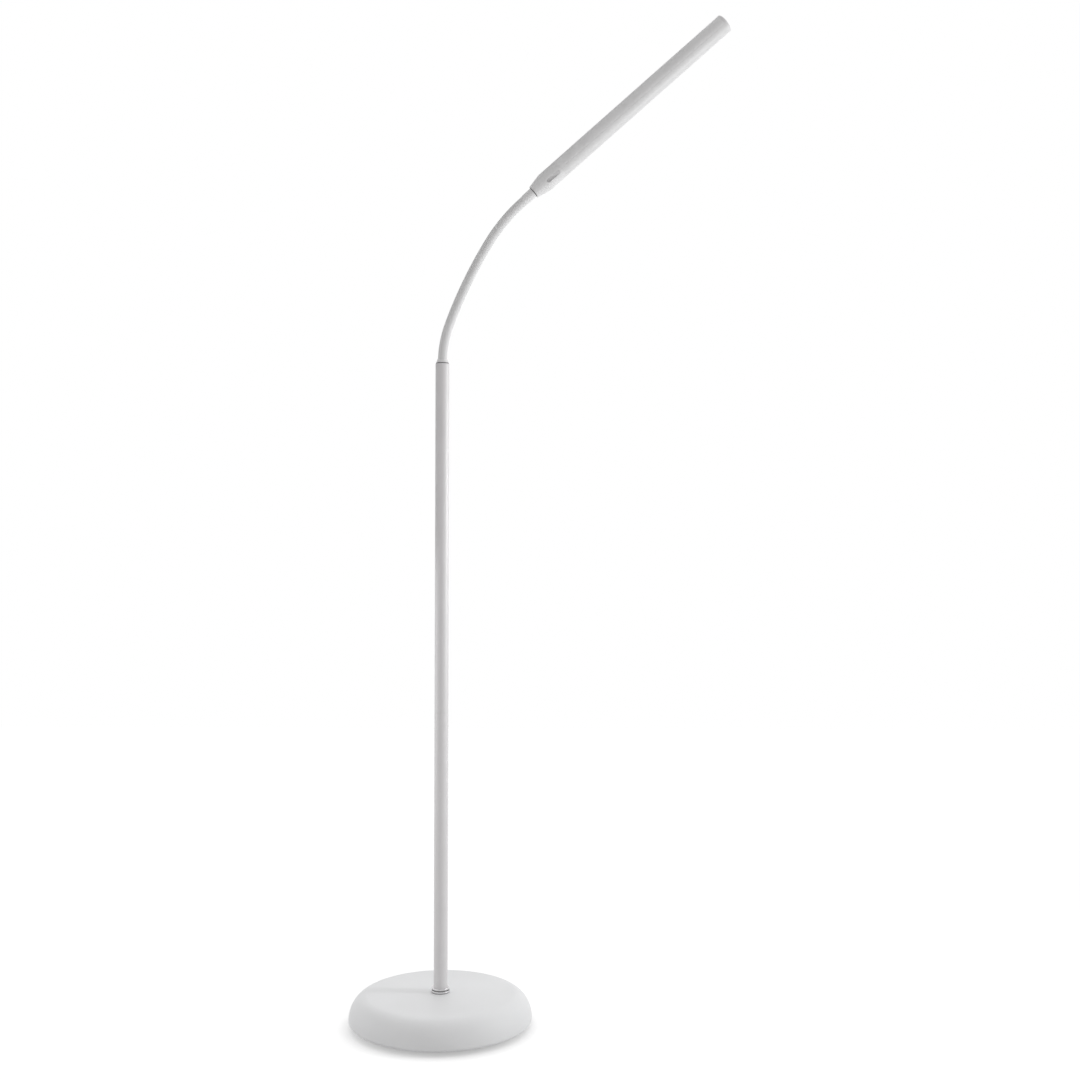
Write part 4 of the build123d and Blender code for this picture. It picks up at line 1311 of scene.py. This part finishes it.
def supply_lead():
    """Lead from the inlet through the base and the pole, and its last run in the head."""
    neck = settings().neck
    inlet = settings().inlet
    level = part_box("supply_lead")[0].z + neck.lead_radius
    drop_start = 0.092
    drop_end = 0.08
    bend = 0.014
    rise = 0.1
    head_reach = 0.03
    route = [
        (0, inlet.body_back, inlet.height), (0, drop_start, inlet.height), (0, drop_end, level),
        (0, bend, level), (0, 0, level), (0, 0, bend), (0, 0, rise), (0, 0, settings().pole.top),
    ]
    neck_end = neck_place(neck.length)[0]
    head_end = head_place() @ Vector((0, 0, head_reach))
    runs = (
        ("lead_in_pole", "stand", route),
        ("lead_in_head", "head", [neck_end, (neck_end + head_end) / 2, head_end]),
    )
    for name, body, points in runs:
        curve = bpy.data.curves.new(name, "CURVE")
        curve.dimensions = "3D"
        curve.bevel_depth = neck.lead_radius
        curve.bevel_resolution = 5
        curve.resolution_u = 12
        curve.use_fill_caps = True
        spline = curve.splines.new("NURBS")
        spline.points.add(len(points) - 1)
        for point, spot in zip(spline.points, points):
            point.co = (*spot, 1)
        spline.order_u = 3
        spline.use_endpoint_u = True
        holder = bpy.data.objects.new("holder", curve)
        parts_collection.objects.link(holder)
        mesh = settled_mesh(holder)
        bpy.data.objects.remove(holder)
        run = mesh_piece(name, mesh, finish("lead_jacket"))
        fit(run, body, "lead_jacket", "supply_lead")


def head_ferrule():
    """Straight ferrule between the neck and the head, with the spigot inside the head, and a dark seal that
    paints the shade of the joint line.
    """
    neck = settings().neck
    lay = head_place()
    foot_edge = 0.0001
    taper_rounding = 0.003
    top_edge = 0.0003
    spigot_edge = 0.0004
    seal_depth = 0.0001
    groove = -neck.ferrule_groove
    low = -(neck.ferrule_length + neck.ferrule_groove)
    bore = neck.radius - neck.wall
    outline = rounded([
        (bore, low, 0), (neck.radius + slip, low, foot_edge),
        (neck.ferrule_radius, low + neck.ferrule_taper, taper_rounding),
        (neck.ferrule_radius, groove, top_edge),
        (neck.spigot_radius, groove, 0), (neck.spigot_radius, neck.spigot_length, spigot_edge),
        (bore, neck.spigot_length, 0),
    ])
    ferrule = piece("neck_top_ferrule", moved(turned(outline, segments=96), lay), finish("moulded_fitting"))
    fit(ferrule, "head", "white_paint", "neck_upper_ferrule")
    # Dark seal in the groove below the head, painted shade of the joint line
    outline = band(neck.spigot_radius, neck.ferrule_radius - seal_depth, groove, 0)
    shade_seal = piece("head_joint_seal", moved(turned(outline, segments=96), lay), finish("joint_seal"))
    fit(shade_seal, "head", "white_paint", "neck_upper_ferrule")


# Head


def head_cone():
    """Tapered end of the head with the slot for the switch and the set screw's hole."""
    head = settings().head
    bore_edge = 0.0002
    small_edge = 0.0005
    shoulder_rounding = 0.004
    spigot_edge = 0.0003
    slot_floor = 0.0068
    slot_top = head.radius * 1.2
    bore = settings().neck.spigot_radius + slip
    inner = head.radius - head.housing_wall - slip
    end = head.cone_end + head.inner_spigot
    outline = rounded([
        (bore, 0, bore_edge), (head.cone_small, 0, small_edge),
        (head.radius, head.cone_length, shoulder_rounding), (head.radius, head.cone_end, shell_edge),
        (inner, head.cone_end, 0), (inner, end, spigot_edge),
        (head.cavity_radius, end, bore_edge), (head.cavity_radius, head.cavity_start, 0),
        (bore, head.cavity_start, 0),
    ], 6)
    cone = piece("head_cone_shell", turned(outline, segments=128), finish("moulded_fitting"))
    slot = oblong(head.slot_length, head.slot_width, slot_floor, slot_top, slot_top)
    carve(cone, moved(slot, switch_place()))
    hole = rod(head.screw_radius, 0, head.radius, segments=32)
    carve(cone, moved(hole, rearward(head.screw_place)))
    smooth(cone.data)
    cone.data.transform(head_place())
    fit(cone, "head", "white_cover", "head_cone")


def head_shells():
    """Upper shell with its web, the diffuser and the end cap."""
    head = settings().head
    skirt_wall = 0.0019
    skirt_length = 0.008
    skirt_inner_edge = 0.0002
    skirt_edge = 0.0004
    shell_end = head.length - head.cap_thickness
    lay = head_place()
    shape = half_shell(head.radius, head.radius - head.housing_wall, head.split, -1, head.cone_end, shell_end)
    housing = piece("head_upper_shell", shape, finish("coated_alloy"))
    ease_edges(housing, shell_edge)
    half = math.sqrt((head.radius - head.housing_wall / 2) ** 2 - head.web_front**2)
    web = bmesh.new()
    size = Matrix.Diagonal((head.web_front - head.web_back, 2 * half, head.board_end - head.board_start, 1))
    middle = Vector(((head.web_back + head.web_front) / 2, 0, (head.board_start + head.board_end) / 2))
    bmesh.ops.create_cube(web, size=1, matrix=Matrix.Translation(middle) @ size)
    carve(housing, web, "UNION")
    smooth(housing.data)
    housing.data.transform(lay)
    fit(housing, "head", "white_alloy", "head_housing")
    split = head.split + head.split_gap
    shape = half_shell(head.radius, head.radius - head.diffuser_wall, split, 1, head.cone_end, shell_end)
    diffuser = piece("head_diffuser_shell", shape, finish("opal_plastic"))
    ease_edges(diffuser, shell_edge)
    diffuser.data.transform(lay)
    fit(diffuser, "head", "opal", "head_diffuser")
    ring = head.radius - head.housing_wall - slip
    skirt = ring - skirt_wall
    skirt_end = shell_end - skirt_length
    outline = rounded([
        (0, shell_end, 0), (skirt, shell_end, 0), (skirt, skirt_end, skirt_inner_edge),
        (ring, skirt_end, skirt_edge), (ring, shell_end, 0), (head.radius, shell_end, shell_edge),
        (head.radius, head.length, head.cap_edge), (0, head.length, 0),
    ], 6)
    cap = piece("head_tip_cap", moved(turned(outline, segments=128), lay), finish("moulded_fitting"))
    fit(cap, "head", "white_cover", "head_end_cap")


def switch_button():
    """Oblong button that lies deepest at its neck end, with its flange behind the slot."""
    head = settings().head
    flange_play = 0.0001
    edge = 0.00012
    size = head.slot_length - 2 * head.button_gap
    width = head.slot_width - 2 * head.button_gap
    half_flange = head.slot_width / 2 + head.flange_lip
    flange_top = math.sqrt(head.cavity_radius**2 - half_flange**2) - flange_play
    flange_low = flange_top - head.flange_thickness
    flange_length = head.slot_length + 2 * head.flange_lip
    flange = oblong(flange_length, 2 * half_flange, flange_low, flange_top, flange_top)
    button = piece("switch_button_cap", flange, finish("button_grey"))
    stem_low = flange_top - head.flange_thickness / 2
    stem = oblong(size, width, stem_low, head.radius - head.button_deep, head.radius - head.button_shallow)
    carve(button, stem, "UNION")
    ease_edges(button, edge)
    button.data.transform(head_place() @ switch_place())
    fit(button, "button", "button_grey", "switch_button")


def board_screw():
    """Round-head screw for the light board, with a hole in its head."""
    shank = 0.001
    tip = -0.0034
    tip_edge = 0.0003
    head = 0.0019
    head_edge = 0.0002
    crown = 0.0006
    top = 0.0012
    hole_mouth = 0.0007
    hole_end = 0.0006
    hole_floor = 0.0006
    outline = rounded([
        (0, tip, 0), (shank, tip, tip_edge), (shank, 0, 0), (head, 0, head_edge), (head, top, crown),
        (hole_mouth, top, 0), (hole_end, hole_floor, 0), (0, hole_floor, 0),
    ])
    return piece("screw", turned(outline, segments=28))


def light_board():
    """Row of light-emitting chips and the board's screws."""
    head = settings().head
    chip_edge = 0.00015
    board_length = head.board_end - head.board_start
    lay = head_place()
    shape = bmesh.new()
    size = Matrix.Diagonal((head.chip_height, head.chip_width, head.chip_length, 1))
    bmesh.ops.create_cube(shape, size=1, matrix=size)
    bmesh.ops.bevel(
        shape, geom=shape.edges[:], offset=chip_edge, segments=2, profile=0.5, affect="EDGES",
        clamp_overlap=True,
    )
    run = board_length - 2 * head.chip_margin - head.chip_length
    layout = {"Count": head.chips, "Step": (0.0, 0.0, run / (head.chips - 1))}
    mesh = repeated(line_tree(), piece("chip", shape), "phosphor_chip", 0.0, **layout)
    first = head.board_start + head.chip_margin + head.chip_length / 2
    mesh.transform(lay @ Matrix.Translation((head.board_front + head.chip_height / 2, 0, first)))
    chips = mesh_piece("light_chips", mesh)
    fit(chips, "head", "phosphor", "led_chips")
    layout = {
        "Columns": head.screw_pairs, "Rows": 2,
        "Width": board_length - 2 * head.screw_margin, "Height": 2 * head.screw_side,
    }
    mesh = repeated(grid_tree(), board_screw(), "zinc_steel", screw_turn, **layout)
    turn = Matrix.Rotation(math.radians(90), 4, "Y")
    middle = Matrix.Translation((head.board_front, 0, (head.board_start + head.board_end) / 2))
    mesh.transform(lay @ middle @ turn)
    screws = mesh_piece("light_board_screws", mesh)
    fit(screws, "head", "steel", "led_board_screws")


inner_finishes = {
    "base_plate": "plate_coat",
    "base_weight": "cast_iron",
    "base_washer": "zinc_steel",
    "base_nut": "zinc_steel",
    "base_nipple": "zinc_steel",
    "pole_foot": "zinc_steel",
    "pole_coupler": "zinc_steel",
    "neck_lower_ferrule": "turned_brass",
    "head_set_screw": "zinc_steel",
    "led_board": "board_white",
    "led_lead": "lead_jacket",
    "driver_board": "board_green",
    "tact_switch": "black_moulding",
    "switch_plunger": "black_moulding",
}


# Stage


def ray_mix(tree, carried, seen, output):
    """Ends a tree with one shader for rays that carry light and another for rays that see the background."""
    path = node(tree, "ShaderNodeLightPath").outputs
    bright = math_node(tree, "MAXIMUM", path["Is Camera Ray"], path["Is Glossy Ray"])
    share = math_node(tree, "MAXIMUM", bright, path["Is Transmission Ray"])
    mix = node(tree, "ShaderNodeMixShader", {"Fac": share, 1: carried, 2: seen})
    node(tree, output, {"Surface": mix.outputs["Shader"]})


def stage_camera(scene, given):
    """Camera that looks level along Y."""
    camera = bpy.data.cameras.new("camera")
    camera.lens = given.lens
    camera.sensor_width = 36
    camera.clip_end = 100
    eye = bpy.data.objects.new("camera", camera)
    eye.location = given.eye
    eye.rotation_euler = (math.pi / 2, given.roll, 0)
    scene.collection.objects.link(eye)
    scene.camera = eye


def stage_lights(scene, given):
    """Soft light from above, a strip and a low light at the sides, and two lights behind the pole."""
    sun = bpy.data.lights.new("top_light", "SUN")
    sun.energy = given.top
    sun.angle = given.top_size
    lights = [(sun, (0, 0, 2), Vector(given.top_from))]
    for name, watts, place, size, spread_angle in (
        ("strip_light", given.strip, given.strip_place, given.strip_size, math.pi),
        ("low_light", given.low, given.low_place, given.low_size, math.pi),
        ("edge_light", given.edge, given.edge_place, given.edge_size, given.edge_spread),
        ("rim_light", given.rim, given.rim_place, given.edge_size, given.edge_spread),
    ):
        panel = bpy.data.lights.new(name, "AREA")
        panel.energy = watts
        panel.shape = "RECTANGLE"
        panel.size, panel.size_y = size
        panel.spread = spread_angle
        # The wide lights face along X, and the narrower ones face the pole
        aside = 0 if spread_angle == math.pi else place[1]
        lights.append((panel, place, Vector((place[0], aside, 0))))
    for light, place, heading in lights:
        light.color = given.light_tint[:3]
        lamp = bpy.data.objects.new(light.name, light)
        lamp.location = place
        lamp.rotation_mode = "QUATERNION"
        lamp.rotation_quaternion = heading.to_track_quat("Z", "Y")
        lamp.visible_camera = False
        scene.collection.objects.link(lamp)


def stage_world(scene, given):
    """Even light from all round, in front of a background that looks white."""
    scene.world = bpy.data.worlds.new("studio")
    tree = clean_tree(scene.world)
    seen = node(tree, "ShaderNodeBackground", {"Color": grey(1), "Strength": 1.0})
    fill = node(tree, "ShaderNodeBackground", {"Color": given.fill_tint, "Strength": given.fill})
    ray_mix(tree, fill.outputs["Background"], seen.outputs["Background"], "ShaderNodeOutputWorld")


def stage_floor(given):
    """White floor with the shadow beside the base: partly real shade on its lit share and partly painted
    shade, where occlusion darkens its glow.
    """
    lit_tone = 0.82
    seen_white = 1.02
    deepest_shade = 0.55
    share = given.floor_share
    coat = bpy.data.materials.new("floor_white")
    tree = clean_tree(coat)
    lit = node(tree, "ShaderNodeBsdfDiffuse", {"Color": grey(lit_tone)}).outputs["BSDF"]
    shade = node(tree, "ShaderNodeBsdfDiffuse", {"Color": grey(share)}).outputs["BSDF"]
    painted_contact_shade = node(tree, "ShaderNodeAmbientOcclusion", {"Distance": given.painted_shadow_reach}, samples=16).outputs["AO"]
    painted_shade_level = node(tree, "ShaderNodeMapRange", {"Value": painted_contact_shade, "To Min": deepest_shade}).outputs["Result"]
    # The glow makes up what the light leaves short of white, and the occlusion darkens it beside the base as
    # painted shade
    level = given.fill + given.top / math.pi * Vector(given.top_from).normalized().z
    glow = node(tree, "ShaderNodeEmission", {"Color": painted_shade_level, "Strength": seen_white - share * level})
    both = node(tree, "ShaderNodeAddShader", {0: shade, 1: glow.outputs["Emission"]}).outputs["Shader"]
    ray_mix(tree, lit, both, "ShaderNodeOutputMaterial")
    shape = bmesh.new()
    bmesh.ops.create_grid(shape, x_segments=1, y_segments=1, size=given.floor_size / 2)
    floor = piece("floor", shape, coat)


def shade_card(given):
    """Grey card, unseen by the camera, that keeps light off the left of the pole, the neck and the head."""
    card_tone = 0.6
    card_roughness = 0.9
    coat = bpy.data.materials.new("card_grey")
    coat.use_nodes = True
    shader = coat.node_tree.nodes["Principled BSDF"]
    shader.inputs["Base Color"].default_value = grey(card_tone)
    shader.inputs["Roughness"].default_value = card_roughness
    lay = head_place()
    gap = given.card_gap
    reach = settings().head.length + given.card_reach
    spine = [Vector((-gap, 0, given.card_low)), Vector((-gap, 0, settings().pole.top))]
    spine += [lay @ Vector((-gap, 0, 0)), lay @ Vector((-gap, 0, reach))]
    shape = bmesh.new()
    rows = []
    for side in (-0.5, 0.5):
        across = Vector((0, side * given.card_width, 0))
        rows.append([shape.verts.new(spot + across) for spot in spine])
    for k in range(len(spine) - 1):
        shape.faces.new([rows[0][k], rows[0][k + 1], rows[1][k + 1], rows[1][k]])
    card = piece("shade_card", shape, coat)
    card.visible_camera = False


def stage():
    """Camera, lights, white background and floor, and the card that shades the lamp's left."""
    scene = bpy.context.scene
    given = settings().stage
    stage_camera(scene, given)
    stage_lights(scene, given)
    stage_world(scene, given)
    scene.view_settings.view_transform = "Standard"
    stage_floor(given)
    shade_card(given)


# Operators and panel


class LAMP_OT_stage(bpy.types.Operator):
    """Makes the camera, the floor and the light"""

    bl_idname = "lamp.stage"
    bl_label = "Stage"

    def execute(self, context):
        stage()
        return {"FINISHED"}


class LAMP_OT_base_cover(bpy.types.Operator):
    """Makes the base's cover"""

    bl_idname = "lamp.base_cover"
    bl_label = "Base cover"

    def execute(self, context):
        base_cover()
        return {"FINISHED"}


class LAMP_OT_base_underside(bpy.types.Operator):
    """Makes the pad and the plate's screws"""

    bl_idname = "lamp.base_underside"
    bl_label = "Base underside"

    def execute(self, context):
        base_underside()
        return {"FINISHED"}


class LAMP_OT_power_inlet(bpy.types.Operator):
    """Makes the power inlet at the back"""

    bl_idname = "lamp.power_inlet"
    bl_label = "Power inlet"

    def execute(self, context):
        power_inlet()
        return {"FINISHED"}


class LAMP_OT_foot_ring(bpy.types.Operator):
    """Makes the bright ring at the pole's foot"""

    bl_idname = "lamp.foot_ring"
    bl_label = "Foot ring"

    def execute(self, context):
        foot_ring()
        return {"FINISHED"}


class LAMP_OT_pole(bpy.types.Operator):
    """Makes the pole's tubes and the cap at its top"""

    bl_idname = "lamp.pole"
    bl_label = "Pole"

    def execute(self, context):
        pole_tubes()
        neck_cap()
        return {"FINISHED"}


class LAMP_OT_gooseneck(bpy.types.Operator):
    """Makes the neck's sleeve, core, lead and ferrule"""

    bl_idname = "lamp.gooseneck"
    bl_label = "Gooseneck"

    def execute(self, context):
        gooseneck()
        head_ferrule()
        return {"FINISHED"}


class LAMP_OT_supply_lead(bpy.types.Operator):
    """Makes the lead in the base, the pole and the head"""

    bl_idname = "lamp.supply_lead"
    bl_label = "Supply lead"

    def execute(self, context):
        supply_lead()
        return {"FINISHED"}


class LAMP_OT_head_cone(bpy.types.Operator):
    """Makes the head's tapered end"""

    bl_idname = "lamp.head_cone"
    bl_label = "Head cone"

    def execute(self, context):
        head_cone()
        return {"FINISHED"}


class LAMP_OT_head_shells(bpy.types.Operator):
    """Makes the head's shells and its tip"""

    bl_idname = "lamp.head_shells"
    bl_label = "Head shells"

    def execute(self, context):
        head_shells()
        return {"FINISHED"}


class LAMP_OT_switch(bpy.types.Operator):
    """Makes the switch button"""

    bl_idname = "lamp.switch"
    bl_label = "Switch"

    def execute(self, context):
        switch_button()
        return {"FINISHED"}


class LAMP_OT_light_board(bpy.types.Operator):
    """Makes the chips and the screws of the light board"""

    bl_idname = "lamp.light_board"
    bl_label = "Light board"

    def execute(self, context):
        light_board()
        return {"FINISHED"}


class LAMP_OT_inner_parts(bpy.types.Operator):
    """Gives the parts inside that stay as they are their finishes"""

    bl_idname = "lamp.inner_parts"
    bl_label = "Inner parts"

    def execute(self, context):
        for node_name, coat in inner_finishes.items():
            dress(node_name, finish(coat))
        return {"FINISHED"}


operators = (
    LAMP_OT_stage,
    LAMP_OT_base_cover,
    LAMP_OT_base_underside,
    LAMP_OT_power_inlet,
    LAMP_OT_foot_ring,
    LAMP_OT_pole,
    LAMP_OT_gooseneck,
    LAMP_OT_supply_lead,
    LAMP_OT_head_cone,
    LAMP_OT_head_shells,
    LAMP_OT_switch,
    LAMP_OT_light_board,
    LAMP_OT_inner_parts,
)


class LAMP_PT_panel(bpy.types.Panel):
    """Lists the lamp's settings and what makes its pieces"""

    bl_idname = "LAMP_PT_panel"
    bl_label = "Lamp"
    bl_space_type = "VIEW_3D"
    bl_region_type = "UI"
    bl_category = "Lamp"

    def draw(self, context):
        lamp = context.scene.lamp
        for group in (lamp.base, lamp.inlet, lamp.pole, lamp.neck, lamp.head, lamp.finishes, lamp.stage):
            box = self.layout.box()
            for name in group.__annotations__:
                box.prop(group, name)
        for operator in operators:
            self.layout.operator(operator.bl_idname)


groups = (LampBase, LampInlet, LampPole, LampNeck, LampHead, LampFinishes, LampStage, LampSettings)
classes = groups + operators + (LAMP_PT_panel,)


def register():
    for cls in classes:
        bpy.utils.register_class(cls)
    bpy.types.Scene.lamp = PointerProperty(type=LampSettings)


def unregister():
    del bpy.types.Scene.lamp
    for cls in reversed(classes):
        bpy.utils.unregister_class(cls)


def main():
    """Makes the whole lamp and its stage."""
    register()
    bpy.ops.lamp.stage()
    bpy.ops.lamp.base_cover()
    bpy.ops.lamp.base_underside()
    bpy.ops.lamp.power_inlet()
    bpy.ops.lamp.foot_ring()
    bpy.ops.lamp.pole()
    bpy.ops.lamp.gooseneck()
    bpy.ops.lamp.supply_lead()
    bpy.ops.lamp.head_cone()
    bpy.ops.lamp.head_shells()
    bpy.ops.lamp.switch()
    bpy.ops.lamp.light_board()
    bpy.ops.lamp.inner_parts()


if __name__ == "__main__":
    main()
